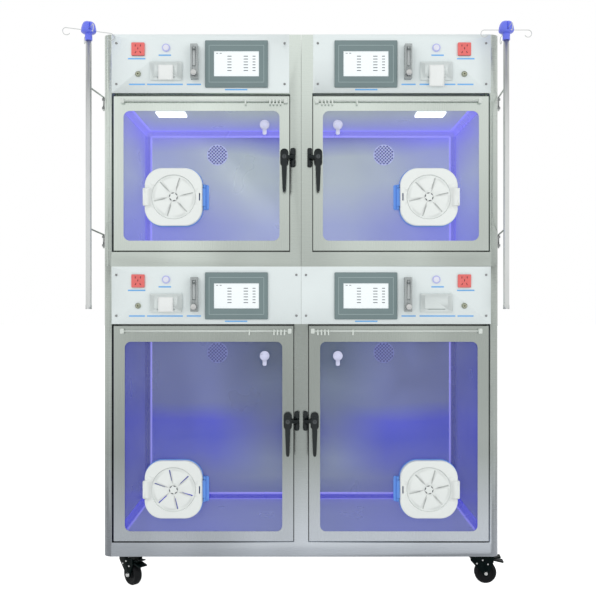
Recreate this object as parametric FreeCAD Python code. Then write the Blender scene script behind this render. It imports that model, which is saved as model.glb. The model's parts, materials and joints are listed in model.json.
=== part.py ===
import FreeCAD, Part
import math
import os
from FreeCAD import Vector

# Veterinary intensive care cage: one wide lower cabinet with two chambers and
# two upper cabinets with one chamber each, on four swivel casters.
# Millimetres. X runs to the right, the doors face -Y, Z points up.
# The origin lies on the floor under the middle of the whole outline.

# Cabinets
CAGE_WIDTH = 1360.0
CAGE_DEPTH = 700.0
UNDERSIDE = 112.0
LOWER_HEIGHT = 997.0
UPPER_HEIGHT = 794.0
SHEET = 1.5
CORNER_R = 30.0
BOTTOM_RAIL = 48.0
SEAM_GAP = 1.0
CHAMBER_DEPTH = 620.0
LINER_SHEET = 1.2
COVE_R = 30.0

# Door openings
REVEAL_DEPTH = 30.0
MOUTH_LIP = 12.0
DOOR_SIDE_GAP = 7.0
DOOR_LATCH_GAP = 3.0
DOOR_BOTTOM_GAP = 5.0
GASKET_WIDTH = 9.0

# Doors
DOOR_THICKNESS = 26.0
DOOR_BOTTOM_STILE = 34.0
GLASS_THICKNESS = 5.0
GLASS_LAP = 12.0
GLASS_FIT = 0.3
PIVOT_R = 4.0
PIVOT_INSET = 8.0
PIVOT_DEPTH = 9.0
PIVOT_REACH = 8.0
RUN_FIT = 0.05

# Curtain rail across each door, with its hooks
RAIL_DROP = 17.0
RAIL_R = 3.5
RAIL_STAND = 5.0
RAIL_END_INSET = 6.0
RAIL_HINGE_INSET = 24.0
RAIL_END_WIDTH = 13.0
RAIL_END_HEIGHT = 17.0
GLIDER_WIDTH = 5.0
GLIDER_HEIGHT = 17.0
GLIDER_PLACES = (30.0, 42.0, 54.0, 66.0, 150.0)

# Lever latch and keeper
HUB_R = 14.0
LATCH_BASE_HEIGHT = 60.0
LATCH_POST_R = 6.0
LATCH_POST_REACH = 8.0
LEVER_LENGTH = 118.0
LEVER_WIDTH = 17.0
LEVER_THICKNESS = 12.0
LEVER_STAND = 16.0
KEY_R = 7.0
NOSE_HEIGHT = 11.0
KEEPER_WIDTH = 16.0
KEEPER_HEIGHT = 66.0
KEEPER_PROUD = 12.0
LATCH_CLEAR = 0.5
LATCH_RISE = {"lower": 418.0, "upper": 323.0}

# Round access port on each door
PORT_X = 435.0
PORT_RISE = 147.5
PORT_SIZE = 196.0
PORT_CORNER = 60.0
PORT_WALL = 3.0
PORT_PROUD = 24.0
RING_MARGIN = 2.5
RING_PROUD = 4.5
RING_BORE_R = 75.0
RING_NECK = 4.5
RING_TAIL = 4.0
TAB_WIDTH = 21.0
TAB_HEIGHT = 86.0
DISH_R = 76.5
DISH_DEPTH = 8.0
KNUCKLE_R = 5.0
HINGE_PIN_R = 2.0
SNAP_WIDTH = 24.0
SNAP_HEIGHT = 60.0
SNAP_PROUD = 6.0
SEAT_GAP = 0.3
VENT_SLITS = 6
SLIT_INNER_R = 30.0
SLIT_OUTER_R = 68.0
SLIT_WIDTH = 3.4
SLIT_PHASE = 42.0
ROTOR_THICKNESS = 2.2
ROTOR_HUB_R = 15.0
ROTOR_PIN_R = 4.0
ROTOR_TURN = 30.0

# Tubing plug near the top inner corner of each pane
PLUG_X = 125.5
PLUG_DROP = 48.0
PLUG_R = 16.5
PLUG_NECK_R = 10.0
PLUG_TAB_WIDTH = 14.0
PLUG_TAB_DROP = 34.0
PLUG_FIT = 0.3

# Control panels
PANEL_THICKNESS = 2.0
PANEL_EDGE = 30.0
PANEL_WINDOW_INSET = 22.0
SCREW_INSET = 16.0
SCREW_RISE = 70.0
SCREW_R = 4.0
SCREW_PROUD = 2.5
SCREEN_X = 221.5
SCREEN_WIDTH = 215.0
SCREEN_HEIGHT = 161.0
SCREEN_PROUD = 7.0
DISPLAY_WIDTH = 154.0
DISPLAY_HEIGHT = 86.0
DISPLAY_RECESS = 1.5
METER_X = 365.0
METER_RISE = 3.0
METER_WIDTH = 25.0
METER_HEIGHT = 118.0
METER_PROUD = 24.0
METER_BORE_R = 6.0
KNOB_DROP = 39.5
KNOB_R = 10.3
KNOB_LENGTH = 16.0
KNOB_SHAFT_R = 3.0
PRINTER_X = 463.0
PRINTER_DROP = 26.0
PRINTER_WIDTH = 110.0
PRINTER_HEIGHT = 64.0
PRINTER_PROUD = 6.0
BUTTON_RISE = 54.0
BUTTON_R = 10.0
BUTTON_RING_R = 13.5
BUTTON_RING_PROUD = 4.0
BUTTON_TRAVEL = 2.5
OUTLET_X = 559.0
SOCKET_RISE = 49.0
SOCKET_SIZE = 45.0
SOCKET_PROUD = 5.0
JACK_DROP = 36.0
JACK_R = 9.8
JACK_PROUD = 9.0
JACK_BORE_R = 3.0
JACK_BORE_DEPTH = 8.0
INLET_WIDTH = 48.0
INLET_HEIGHT = 28.0

# Chamber lamp
LAMP_X = 492.0
LAMP_WIDTH = 110.0
LAMP_LENGTH = 68.0
LAMP_SETBACK = 247.0
LAMP_PROUD = 8.0

# Side louvres of the upper cabinets
LOUVRE_COUNT = 5
LOUVRE_PITCH = 22.0
LOUVRE_LENGTH = 120.0
LOUVRE_HEIGHT = 12.0
LOUVRE_PROUD = 4.0
LOUVRE_SETBACK = 60.0

# Infusion poles
POLE_R = 9.75
POLE_BOTTOM = 962.0
POLE_TOP = 1890.0
POLE_CAP = 14.0
POLE_ARM = 95.0
ARM_R = 3.0
ARM_HEIGHTS = (1713.0, 1234.0)
ARM_FALL = 36.0
ARM_PIN_OFF = 9.0
ARM_PIN_SETBACK = 50.0
ARM_PIN_TAIL = 6.0
BRACKET_R = 6.0
BRACKET_EAR = 8.0
BRACKET_GAP = 22.0
BRACKET_WIDTH = 24.0
POLE_TURNS = {-1: 18.5, 1: 2.0}
HEAD_HEIGHT = 46.0
HEAD_WIDTH = 53.0
HEAD_TOP_WIDTH = 36.0
HEAD_SKIRT = 10.0
HEAD_GROOVE = 7.0
COLLAR_R = 12.5
COLLAR_HEIGHT = 26.0
HOOK_R = 1.3
HOOK_REACH = 87.0
HOOK_LOOP_R = 12.0
HOOK_SWEEP = 240.0
HOOK_COUNT = 4
HEAD_TURNS = {-1: 24.0, 1: 0.0}

# Casters
CASTER_X = 612.0
CASTER_SETBACK = 75.0
PLATE_SIZE = 92.0
PLATE_THICKNESS = 4.0
WHEEL_R = 38.0
WHEEL_WIDTH = 30.0
CASTER_TRAIL = 35.0
FORK_GAP = 2.0
FORK_SHEET = 4.0
CROWN_R = 27.0
CROWN_HEIGHT = 14.0
AXLE_R = 5.0
KING_PIN_R = 6.0
PEDAL_WIDTH = 34.0
PEDAL_LENGTH = 40.0
PEDAL_PIN_R = 3.0
CASTER_TURNS = {"front_left": -45.0, "front_right": -5.0, "rear_left": 200.0, "rear_right": 160.0}

# Places worked out from the sizes above
HALF = CAGE_WIDTH / 2
POLE_FORWARD = POLE_ARM - ARM_PIN_SETBACK
FRONT = -(CAGE_DEPTH - POLE_FORWARD - HOOK_REACH) / 2
BACK = FRONT + CAGE_DEPTH
LOWER_TOP = UNDERSIDE + LOWER_HEIGHT
SIDES = {"left": -1, "right": 1}
TIERS = {
    "lower": {"floor": UNDERSIDE, "top": LOWER_TOP, "panel": 197.0, "panel_top_gap": 2.0,
              "post": 24.0, "stile": 38.0, "top_stile": 54.0, "top_gap": 7.0, "window_r": 20.0},
    "upper": {"floor": LOWER_TOP, "top": LOWER_TOP + UPPER_HEIGHT, "panel": 201.0, "panel_top_gap": 0.0,
              "post": 38.0, "stile": 33.5, "top_stile": 50.0, "top_gap": 11.0, "window_r": 22.0},
}
KNUCKLE_X = PORT_SIZE / 2 + KNUCKLE_R + 1.0
KNUCKLE_Y = -RING_PROUD - KNUCKLE_R
LATCH_BASE_PROUD = KEEPER_PROUD + LATCH_CLEAR - SEAT_GAP


def box(x0, x1, y0, y1, z0, z1):
    low = Vector(min(x0, x1), min(y0, y1), min(z0, z1))
    return Part.makeBox(abs(x1 - x0), abs(y1 - y0), abs(z1 - z0), low)


def rod(x, y, z, radius, length, direction):
    return Part.makeCylinder(radius, length, Vector(x, y, z), Vector(*direction))


def rounded_loop(x0, x1, z0, z1, r, y):
    """A rectangle in the XZ plane with round corners."""
    x0, x1 = min(x0, x1), max(x0, x1)
    k = r * (1 - math.sqrt(0.5))

    def p(x, z):
        return Vector(x, y, z)

    return Part.Wire([
        Part.LineSegment(p(x0 + r, z0), p(x1 - r, z0)).toShape(),
        Part.Arc(p(x1 - r, z0), p(x1 - k, z0 + k), p(x1, z0 + r)).toShape(),
        Part.LineSegment(p(x1, z0 + r), p(x1, z1 - r)).toShape(),
        Part.Arc(p(x1, z1 - r), p(x1 - k, z1 - k), p(x1 - r, z1)).toShape(),
        Part.LineSegment(p(x1 - r, z1), p(x0 + r, z1)).toShape(),
        Part.Arc(p(x0 + r, z1), p(x0 + k, z1 - k), p(x0, z1 - r)).toShape(),
        Part.LineSegment(p(x0, z1 - r), p(x0, z0 + r)).toShape(),
        Part.Arc(p(x0, z0 + r), p(x0 + k, z0 + k), p(x0 + r, z0)).toShape()])


def slab(x0, x1, z0, z1, r, y0, y1):
    return Part.Face(rounded_loop(x0, x1, z0, z1, r, y0)).extrude(Vector(0, y1 - y0, 0))


def outline_xz(points, y0, y1):
    loop = Part.makePolygon([Vector(x, y0, z) for x, z in points + points[:1]])
    return Part.Face(loop).extrude(Vector(0, y1 - y0, 0))


def turned(points, axis_point, axis):
    """A solid of revolution; points are (radius, height along the axis)."""
    across = Vector(0, 0, 1) if abs(axis.z) < 0.5 else Vector(1, 0, 0)
    spots = [axis_point + across * r + axis * h for r, h in points]
    face = Part.Face(Part.makePolygon(spots + spots[:1]))
    return face.revolve(axis_point, axis, 360)


def spin(shape, centre, axis, degrees):
    copy = shape.copy()
    copy.rotate(centre, axis, degrees)
    return copy


class Bay:
    """One chamber with its door, panel and fittings: where everything of it lies."""

    def __init__(self, tier, side):
        data = TIERS[tier]
        self.name = tier + "_" + side
        self.side = SIDES[side]
        self.floor = data["floor"]
        self.top = data["top"]
        self.window_r = data["window_r"]
        self.panel_top = self.top - data["panel_top_gap"]
        self.panel_bottom = self.panel_top - data["panel"]
        self.panel_middle = (self.panel_top + self.panel_bottom) / 2
        self.panel_inner = data["post"] + DOOR_LATCH_GAP if tier == "upper" else SEAM_GAP / 2
        self.panel_outer = HALF - PANEL_EDGE
        self.reveal_outer = HALF - CORNER_R
        self.reveal_inner = data["post"]
        self.reveal_bottom = self.floor + BOTTOM_RAIL
        self.reveal_top = self.panel_bottom
        self.door_outer = self.reveal_outer - DOOR_SIDE_GAP
        self.door_inner = self.reveal_inner + DOOR_LATCH_GAP
        self.door_bottom = self.reveal_bottom + DOOR_BOTTOM_GAP
        self.door_top = self.reveal_top - data["top_gap"]
        self.window_outer = self.door_outer - data["stile"]
        self.window_inner = self.door_inner + data["stile"]
        self.window_bottom = self.door_bottom + DOOR_BOTTOM_STILE
        self.window_top = self.door_top - data["top_stile"]
        self.pivot_x = self.side * (self.door_outer - PIVOT_INSET)
        self.pivot_y = FRONT + PIVOT_DEPTH
        self.hub_x = self.side * (self.door_inner + data["stile"] / 2)
        self.hub_z = self.reveal_bottom + LATCH_RISE[tier]
        self.keeper_x = self.side * (self.reveal_inner - KEEPER_WIDTH / 2 - 1.0)
        self.port_x = self.side * PORT_X
        self.port_z = self.window_bottom + PORT_RISE
        self.plug_x = self.side * PLUG_X
        self.plug_z = self.window_top - PLUG_DROP

    def x(self, distance):
        return self.side * distance


BAYS = [Bay(tier, side) for tier in TIERS for side in SIDES]
LOWER_BAYS = [bay for bay in BAYS if bay.name.startswith("lower")]


def casing_plan(x0, x1, y0, y1, r_left, r_right, z):
    """Plan outline of a casing, with a round front corner where a radius is given."""
    k = 1 - math.sqrt(0.5)
    edges = []

    def line(a, b):
        edges.append(Part.LineSegment(Vector(a[0], a[1], z), Vector(b[0], b[1], z)).toShape())

    def arc(a, b, c):
        edges.append(Part.Arc(*[Vector(q[0], q[1], z) for q in (a, b, c)]).toShape())

    line((x0 + r_left, y0), (x1 - r_right, y0))
    if r_right:
        arc((x1 - r_right, y0), (x1 - k * r_right, y0 + k * r_right), (x1, y0 + r_right))
    line((x1, y0 + r_right), (x1, y1))
    line((x1, y1), (x0, y1))
    line((x0, y1), (x0, y0 + r_left))
    if r_left:
        arc((x0, y0 + r_left), (x0 + k * r_left, y0 + k * r_left), (x0 + r_left, y0))
    return Part.Face(Part.Wire(edges))


def casing_body(x0, x1, z0, z1, round_left, round_right):
    outer = casing_plan(x0, x1, FRONT, BACK, CORNER_R * round_left, CORNER_R * round_right, z0)
    outer = outer.extrude(Vector(0, 0, z1 - z0))
    r_in = CORNER_R - SHEET
    hollow = casing_plan(x0 + SHEET, x1 - SHEET, FRONT + SHEET, BACK - SHEET,
                         r_in * round_left, r_in * round_right, z0 + SHEET)
    return outer.cut(hollow.extrude(Vector(0, 0, z1 - z0 - 2 * SHEET)))


def door_reveal(bay):
    """The folded channel that a door closes into, with the lip that carries its seal."""
    a, b = bay.x(bay.reveal_inner), bay.x(bay.reveal_outer)
    side = bay.side
    low, high = bay.reveal_bottom, bay.reveal_top
    wall = box(a - side * SHEET, b + side * SHEET, FRONT, FRONT + REVEAL_DEPTH, low - SHEET, high + SHEET)
    wall = wall.cut(box(a, b, FRONT - 1, FRONT + REVEAL_DEPTH - SHEET, low, high))
    mouth = box(a + side * MOUTH_LIP, b - side * MOUTH_LIP, FRONT, FRONT + REVEAL_DEPTH + 1,
                low + MOUTH_LIP, high - MOUTH_LIP)
    return wall.cut(mouth)


def pivot_holes(bay):
    low = rod(bay.pivot_x, bay.pivot_y, bay.reveal_bottom - 4, PIVOT_R + RUN_FIT, 8, (0, 0, 1))
    high = rod(bay.pivot_x, bay.pivot_y, bay.reveal_top - 4, PIVOT_R + RUN_FIT, 8, (0, 0, 1))
    return [low, high]


def louvres(side):
    """Pressed louvres: a sloping hood over a slot, repeated down the side wall."""
    hoods, slots = [], []
    x = side * HALF
    y0 = FRONT + LOUVRE_SETBACK
    middle = LOWER_TOP + UPPER_HEIGHT - 96.0
    for row in range(LOUVRE_COUNT):
        z = middle + (row - (LOUVRE_COUNT - 1) / 2) * LOUVRE_PITCH
        points = [Vector(x - side * SHEET, y0, z + LOUVRE_HEIGHT / 2),
                  Vector(x + side * LOUVRE_PROUD, y0, z - LOUVRE_HEIGHT / 2),
                  Vector(x + side * (LOUVRE_PROUD - SHEET), y0, z - LOUVRE_HEIGHT / 2),
                  Vector(x - side * SHEET, y0, z + LOUVRE_HEIGHT / 2 - SHEET * 2)]
        hood = Part.Face(Part.makePolygon(points + points[:1])).extrude(Vector(0, LOUVRE_LENGTH, 0))
        hoods.append(hood)
        slots.append(box(x - side * (SHEET + 1), x + side, y0 + 2, y0 + LOUVRE_LENGTH - 2,
                         z - LOUVRE_HEIGHT / 2, z + LOUVRE_HEIGHT / 2 - SHEET * 2))
    return hoods, slots


def cabinet(x0, x1, z0, z1, bays, round_left, round_right):
    body = casing_body(x0, x1, z0, z1, round_left, round_right)
    cuts = []
    for bay in bays:
        cuts.append(box(bay.x(bay.reveal_inner), bay.x(bay.reveal_outer), FRONT - 1, FRONT + SHEET + 1,
                        bay.reveal_bottom, bay.reveal_top))
        edge = PANEL_WINDOW_INSET
        cuts.append(box(bay.x(bay.panel_inner + edge), bay.x(bay.panel_outer - edge),
                        FRONT - 1, FRONT + SHEET + 1, bay.panel_bottom + edge, bay.panel_top - edge))
    body = body.cut(cuts)
    body = body.fuse([door_reveal(bay) for bay in bays])
    for bay in bays:
        body = body.cut(pivot_holes(bay))
    return body


def lower_shell():
    return cabinet(-HALF, HALF, UNDERSIDE, LOWER_TOP, LOWER_BAYS, 1, 1).removeSplitter()


def upper_shell(bay):
    left = bay.side < 0
    x0, x1 = (-HALF, -SEAM_GAP / 2) if left else (SEAM_GAP / 2, HALF)
    body = cabinet(x0, x1, bay.floor, bay.top, [bay], 1 if left else 0, 0 if left else 1)
    hoods, slots = louvres(bay.side)
    return body.cut(slots).fuse(hoods).removeSplitter()


def coved_block(x0, x1, y0, y1, z0, z1, r):
    """A block whose edges are coved except round its open front."""
    block = box(x0, x1, y0, y1, z0, z1)
    front_edges = [e for e in block.Edges if all(abs(v.Y - y0) < 1e-6 for v in e.Vertexes)]
    kept = [e for e in block.Edges if not any(e.isSame(f) for f in front_edges)]
    return block.makeFillet(r, kept)


def chamber_liner(bay):
    a, b = sorted((bay.x(bay.reveal_inner), bay.x(bay.reveal_outer)))
    y0 = FRONT + REVEAL_DEPTH
    y1 = y0 + CHAMBER_DEPTH
    t = LINER_SHEET
    outer = coved_block(a, b, y0, y1, bay.reveal_bottom, bay.reveal_top, COVE_R)
    inner = coved_block(a + t, b - t, y0 - 1, y1 - t, bay.reveal_bottom + t, bay.reveal_top - t,
                        COVE_R - t)
    return outer.cut(inner)


def chamber_lamp(bay):
    y0 = FRONT + REVEAL_DEPTH + LAMP_SETBACK
    z1 = bay.reveal_top - LINER_SHEET
    half = LAMP_WIDTH / 2
    lens = box(bay.x(LAMP_X - half), bay.x(LAMP_X + half), y0, y0 + LAMP_LENGTH, z1 - LAMP_PROUD, z1)
    low_edges = [e for e in lens.Edges if all(abs(v.Z - z1 + LAMP_PROUD) < 1e-6 for v in e.Vertexes)]
    return lens.makeChamfer(LAMP_PROUD / 3, low_edges)


def gasket(bay):
    a, b = sorted((bay.x(bay.reveal_inner + 1), bay.x(bay.reveal_outer - 1)))
    low, high = bay.reveal_bottom + 1, bay.reveal_top - 1
    y0, y1 = FRONT + DOOR_THICKNESS + SEAT_GAP, FRONT + REVEAL_DEPTH - SHEET
    w = GASKET_WIDTH
    hollow = slab(a + w, b - w, low + w, high - w, 3.0, y0 - 1, y1 + 1)
    return slab(a, b, low, high, 4.0, y0, y1).cut(hollow)


def door_frame(bay):
    """A folded stainless frame, open at the back, with pivot pins at its outer corners.

    Its rear outer edge is stepped back, so that it swings clear of the seal.
    """
    side = bay.side
    a, b = bay.x(bay.door_inner), bay.x(bay.door_outer)
    low, high = bay.door_bottom, bay.door_top
    back = FRONT + DOOR_THICKNESS
    body = box(a, b, FRONT, back, low, high)
    window = slab(bay.x(bay.window_inner), bay.x(bay.window_outer), bay.window_bottom, bay.window_top,
                  bay.window_r, FRONT - 1, FRONT + SHEET + 1)
    lap = GLASS_LAP + GLASS_FIT
    pane_room = box(bay.x(bay.window_inner - lap), bay.x(bay.window_outer + lap), FRONT + SHEET, back + 1,
                    bay.window_bottom - lap, bay.window_top + lap)
    lap += SHEET
    channel = box(a + side * SHEET, b - side * SHEET, FRONT + SHEET, back + 1, low + SHEET, high - SHEET)
    channel = channel.cut(box(bay.x(bay.window_inner - lap), bay.x(bay.window_outer + lap), FRONT, back + 2,
                              bay.window_bottom - lap, bay.window_top + lap))
    swing = math.sqrt((back - bay.pivot_y) ** 2 - PIVOT_INSET ** 2)
    relief = box(bay.pivot_x, b + side, bay.pivot_y + swing - SEAT_GAP, back + 1, low - 1, high + 1)
    body = body.cut([window, pane_room, channel, relief])
    x = bay.pivot_x
    boss = PIVOT_INSET - SHEET / 2
    pins = []
    for end, direction in ((low, -1), (high, 1)):
        inside = end - direction * (SHEET + 16)
        reach = PIVOT_REACH + (DOOR_BOTTOM_GAP if direction < 0 else bay.reveal_top - high)
        block = box(x - boss, x + boss, bay.pivot_y - boss, bay.pivot_y + boss,
                    inside, end - direction * SHEET / 2)
        pin = rod(x, bay.pivot_y, inside, PIVOT_R, abs(end - inside) + reach, (0, 0, direction))
        pins += [block, pin]
    return body.fuse(pins).removeSplitter()


def curtain_rail(bay):
    """A round rail in front of the door's top stile, its end blocks and its hooks."""
    z = bay.door_top - RAIL_DROP
    y = FRONT - RAIL_STAND - RAIL_R
    start, stop = bay.door_inner + RAIL_END_INSET, bay.door_outer - RAIL_HINGE_INSET
    pieces = []
    for near, far in ((start, start + RAIL_END_WIDTH), (stop - RAIL_END_WIDTH, stop)):
        pieces.append(slab(bay.x(near), bay.x(far), z - RAIL_END_HEIGHT / 2, z + RAIL_END_HEIGHT / 2,
                           3.0, FRONT - RAIL_STAND - 2 * RAIL_R - 1, FRONT))
    length = stop - start - 2 * RAIL_END_WIDTH
    bar = rod(bay.x(start + RAIL_END_WIDTH), y, z, RAIL_R, length, (bay.side, 0, 0))
    pieces.append(bar)
    return pieces


def gliders(bay):
    """Small hooks that hang on the rail, in one group by the latch side."""
    pieces = []
    z = bay.door_top - RAIL_DROP
    y = FRONT - RAIL_STAND - RAIL_R
    for place in GLIDER_PLACES:
        x = bay.x(bay.door_inner + place)
        r = RAIL_R + RUN_FIT
        foot = z - GLIDER_HEIGHT + r
        clip = box(x - GLIDER_WIDTH / 2, x + GLIDER_WIDTH / 2, y - r - 1.6, y + r + 1.2, foot, z + r + 1.6)
        clip = clip.cut(rod(x - GLIDER_WIDTH, y, z, r, 2 * GLIDER_WIDTH, (1, 0, 0)))
        pieces.append(clip.cut(rod(x - GLIDER_WIDTH, y, foot + 4, 1.6, 2 * GLIDER_WIDTH, (1, 0, 0))))
    return pieces


def port_ring(bay):
    """The blue seat of the access port: a flange on the glass, a neck through it and a hinge tab."""
    half = PORT_SIZE / 2 + RING_MARGIN
    x, z = bay.port_x, bay.port_z
    face = FRONT + SHEET
    inner = -bay.side
    ring = slab(x - half, x + half, z - half, z + half, PORT_CORNER + RING_MARGIN, FRONT - RING_PROUD, face)
    tab = slab(x + inner * (half - 20), x + inner * (PORT_SIZE / 2 + TAB_WIDTH), z - TAB_HEIGHT / 2,
               z + TAB_HEIGHT / 2, 6.0, FRONT - RING_PROUD, face)
    neck = rod(x, face - 1, z, RING_BORE_R + RING_NECK, GLASS_THICKNESS + RING_TAIL + 1, (0, 1, 0))
    knuckle_x, knuckle_y = x + inner * KNUCKLE_X, FRONT + KNUCKLE_Y
    length = TAB_HEIGHT / 2 - 31
    knuckles = []
    for direction in (-1, 1):
        near = z + direction * 31
        knuckles.append(rod(knuckle_x, knuckle_y, near, KNUCKLE_R, length, (0, 0, direction)))
        knuckles.append(box(knuckle_x - KNUCKLE_R, knuckle_x + KNUCKLE_R, knuckle_y,
                            FRONT - RING_PROUD + 0.5, near, near + direction * length))
    body = ring.fuse([tab, neck] + knuckles)
    body = body.cut(rod(x, FRONT - 20, z, RING_BORE_R, 60, (0, 1, 0)))
    pin = rod(knuckle_x, knuckle_y, z - TAB_HEIGHT / 2, HINGE_PIN_R, TAB_HEIGHT, (0, 0, 1))
    return body.fuse(pin).removeSplitter()


def latch_base(bay):
    half = LATCH_BASE_HEIGHT / 2
    x, z = bay.hub_x, bay.hub_z
    plate = slab(x - HUB_R, x + HUB_R, z - half, z + half, HUB_R - 0.5, FRONT - LATCH_BASE_PROUD, FRONT)
    post = rod(x, FRONT - LATCH_BASE_PROUD, z, LATCH_POST_R, LATCH_POST_REACH, (0, -1, 0))
    return plate.fuse(post).removeSplitter()


def latch_handle(bay):
    """A hanging lever with a nose that reaches over the keeper."""
    x, z = bay.hub_x, bay.hub_z
    inner = -bay.side
    y0 = FRONT - LATCH_BASE_PROUD - SEAT_GAP
    y1 = FRONT - LEVER_STAND - LEVER_THICKNESS
    hub = rod(x, y0, z, HUB_R, y0 - y1, (0, -1, 0))
    root, tip = LEVER_WIDTH / 2, LEVER_WIDTH / 3
    end = z - LEVER_LENGTH
    arm = outline_xz([(x - root, z), (x + root, z), (x + root, z - 40), (x + tip, end + 6),
                      (x + tip * 0.6, end), (x - tip * 0.6, end), (x - tip, end + 6), (x - root, z - 40)],
                     y1, FRONT - LEVER_STAND)
    reach = abs(bay.hub_x - bay.keeper_x) + KEEPER_WIDTH / 4
    nose_y = FRONT - KEEPER_PROUD - LATCH_CLEAR
    nose = box(x, x + inner * reach, nose_y, y1 + 2, z - NOSE_HEIGHT / 2, z + NOSE_HEIGHT / 2)
    body = hub.fuse([arm, nose])
    seat = rod(x, y0 + 1, z, LATCH_POST_R + RUN_FIT, LATCH_POST_REACH + 1, (0, -1, 0))
    body = body.cut(seat).removeSplitter()
    key = rod(x, y1, z, KEY_R, 3.0, (0, -1, 0))
    slot = box(x - 0.8, x + 0.8, y1 - 4, y1 - 1.5, z - 4, z + 4)
    return [body, key.cut(slot)]


def keeper(bay):
    """A two-lobed strike plate on the frame beside the latch."""
    x, z = bay.keeper_x, bay.hub_z
    w, h = KEEPER_WIDTH / 2, KEEPER_HEIGHT / 2
    plate = slab(x - w, x + w, z - h, z + h, 5.0, FRONT - KEEPER_PROUD / 3, FRONT)
    lobes = []
    for direction in (-1, 1):
        middle = z + direction * (h - 14)
        lobes.append(slab(x - w, x + w, middle - 13, middle + 13, 6.0, FRONT - KEEPER_PROUD, FRONT))
    return plate.fuse(lobes).removeSplitter()


def slit_cutters(x, z, y0, y1, phase):
    """Radial slots, evenly spaced; wider towards the rim."""
    cutters = []
    w0, w1 = SLIT_WIDTH * 0.35, SLIT_WIDTH * 0.65
    for n in range(VENT_SLITS):
        wedge = outline_xz([(x + SLIT_INNER_R, z - w0), (x + SLIT_OUTER_R, z - w1),
                            (x + SLIT_OUTER_R, z + w1), (x + SLIT_INNER_R, z + w0)], y0, y1)
        cutters.append(spin(wedge, Vector(x, 0, z), Vector(0, -1, 0), phase + n * 360 / VENT_SLITS))
    return cutters


def port_door(bay):
    """The white square door of the port: a dished tray with a ring of slits in its floor."""
    x, z = bay.port_x, bay.port_z
    inner = -bay.side
    half, w = PORT_SIZE / 2, PORT_WALL
    front, rear = FRONT - PORT_PROUD, FRONT - RING_PROUD - SEAT_GAP
    body = slab(x - half, x + half, z - half, z + half, PORT_CORNER, front, rear)
    rim = [e for e in body.Edges if all(abs(v.Y - front) < 1e-6 for v in e.Vertexes)]
    body = body.makeChamfer(w * 0.9, rim)
    core = half - w
    body = body.cut(slab(x - core, x + core, z - core, z + core, PORT_CORNER - w, front + w, rear + 1))
    floor = front + DISH_DEPTH
    body = body.fuse(rod(x, front + 1, z, DISH_R + w, DISH_DEPTH + w - 1, (0, 1, 0)))
    cone = turned([(0, 0), (DISH_R, 0), (DISH_R - 2, DISH_DEPTH), (0, DISH_DEPTH)],
                  Vector(x, front, z), Vector(0, 1, 0))
    mouth = rod(x, front - 1, z, DISH_R, 1.0, (0, 1, 0))
    body = body.cut([cone, mouth])
    body = body.cut(slit_cutters(x, z, floor - 1, floor + w + 1, SLIT_PHASE))
    body = body.fuse(rod(x, floor + 1, z, ROTOR_PIN_R, 6.0, (0, -1, 0)))
    snap = slab(x - inner * (half + SNAP_PROUD), x - inner * (half + SNAP_PROUD - SNAP_WIDTH),
                z - SNAP_HEIGHT / 2, z + SNAP_HEIGHT / 2, 3.0, front - 2, front + w)
    hook = slab(x - inner * (half + SNAP_PROUD), x - inner * (half - 1), z - SNAP_HEIGHT / 2,
                z + SNAP_HEIGHT / 2, 2.5, front, rear)
    finger_slot = slab(x + inner * (half - 11), x + inner * (half - 7), z - 13, z + 13, 1.9,
                       front - 1, front + w + 1)
    kx, ky = x + inner * KNUCKLE_X, FRONT + KNUCKLE_Y
    middle = rod(kx, ky, z - 30, KNUCKLE_R, 60, (0, 0, 1))
    web = box(x + inner * (half - 1), kx, ky - KNUCKLE_R, ky, z - 30, z + 30)
    body = body.fuse([snap, hook, middle, web]).cut(finger_slot)
    return body.cut(rod(kx, ky, z - 40, HINGE_PIN_R + RUN_FIT, 80, (0, 0, 1))).removeSplitter()


def vent_rotor(bay):
    """The pleated disc that turns in the dish to open or shut the slits."""
    x, z = bay.port_x, bay.port_z
    back = DISH_DEPTH - SEAT_GAP
    rim = back - ROTOR_THICKNESS
    cap = 1.0
    bore = ROTOR_PIN_R + RUN_FIT
    hub_front = -0.5
    profile = [(0, hub_front), (ROTOR_HUB_R - 2, hub_front), (ROTOR_HUB_R, cap), (ROTOR_HUB_R, rim - 3.0),
               (DISH_R - 6, rim - 0.8), (DISH_R - 4, rim), (DISH_R - 4, back), (bore, back),
               (bore, DISH_DEPTH - 6.0), (0, DISH_DEPTH - 6.0)]
    disc = turned(profile, Vector(x, FRONT - PORT_PROUD, z), Vector(0, 1, 0))
    phase = SLIT_PHASE if bay.name == "lower_left" else SLIT_PHASE + ROTOR_TURN
    y = FRONT - PORT_PROUD
    return disc.cut(slit_cutters(x, z, y - 1, y + DISH_DEPTH + 1, phase))


def door_glass(bay):
    lap = GLASS_LAP
    y0, y1 = FRONT + SHEET, FRONT + SHEET + GLASS_THICKNESS
    pane = box(bay.x(bay.window_inner - lap), bay.x(bay.window_outer + lap), y0, y1,
               bay.window_bottom - lap, bay.window_top + lap)
    through = GLASS_THICKNESS + 2
    port = rod(bay.port_x, y0 - 1, bay.port_z, RING_BORE_R + RING_NECK + 0.1, through, (0, 1, 0))
    hole = rod(bay.plug_x, y0 - 1, bay.plug_z, PLUG_NECK_R + PLUG_FIT, through, (0, 1, 0))
    return pane.cut([port, hole])


def tube_plug(bay):
    x, z = bay.plug_x, bay.plug_z
    face = FRONT + SHEET
    cap = rod(x, face - SEAT_GAP, z, PLUG_R, 6.0, (0, -1, 0))
    neck = rod(x, face - 1, z, PLUG_NECK_R, GLASS_THICKNESS + 6, (0, 1, 0))
    tab = slab(x - PLUG_TAB_WIDTH / 2, x + PLUG_TAB_WIDTH / 2, z - PLUG_TAB_DROP, z, 5.0,
               face - 5, face - 2)
    return cap.fuse([neck, tab]).removeSplitter()


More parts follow.
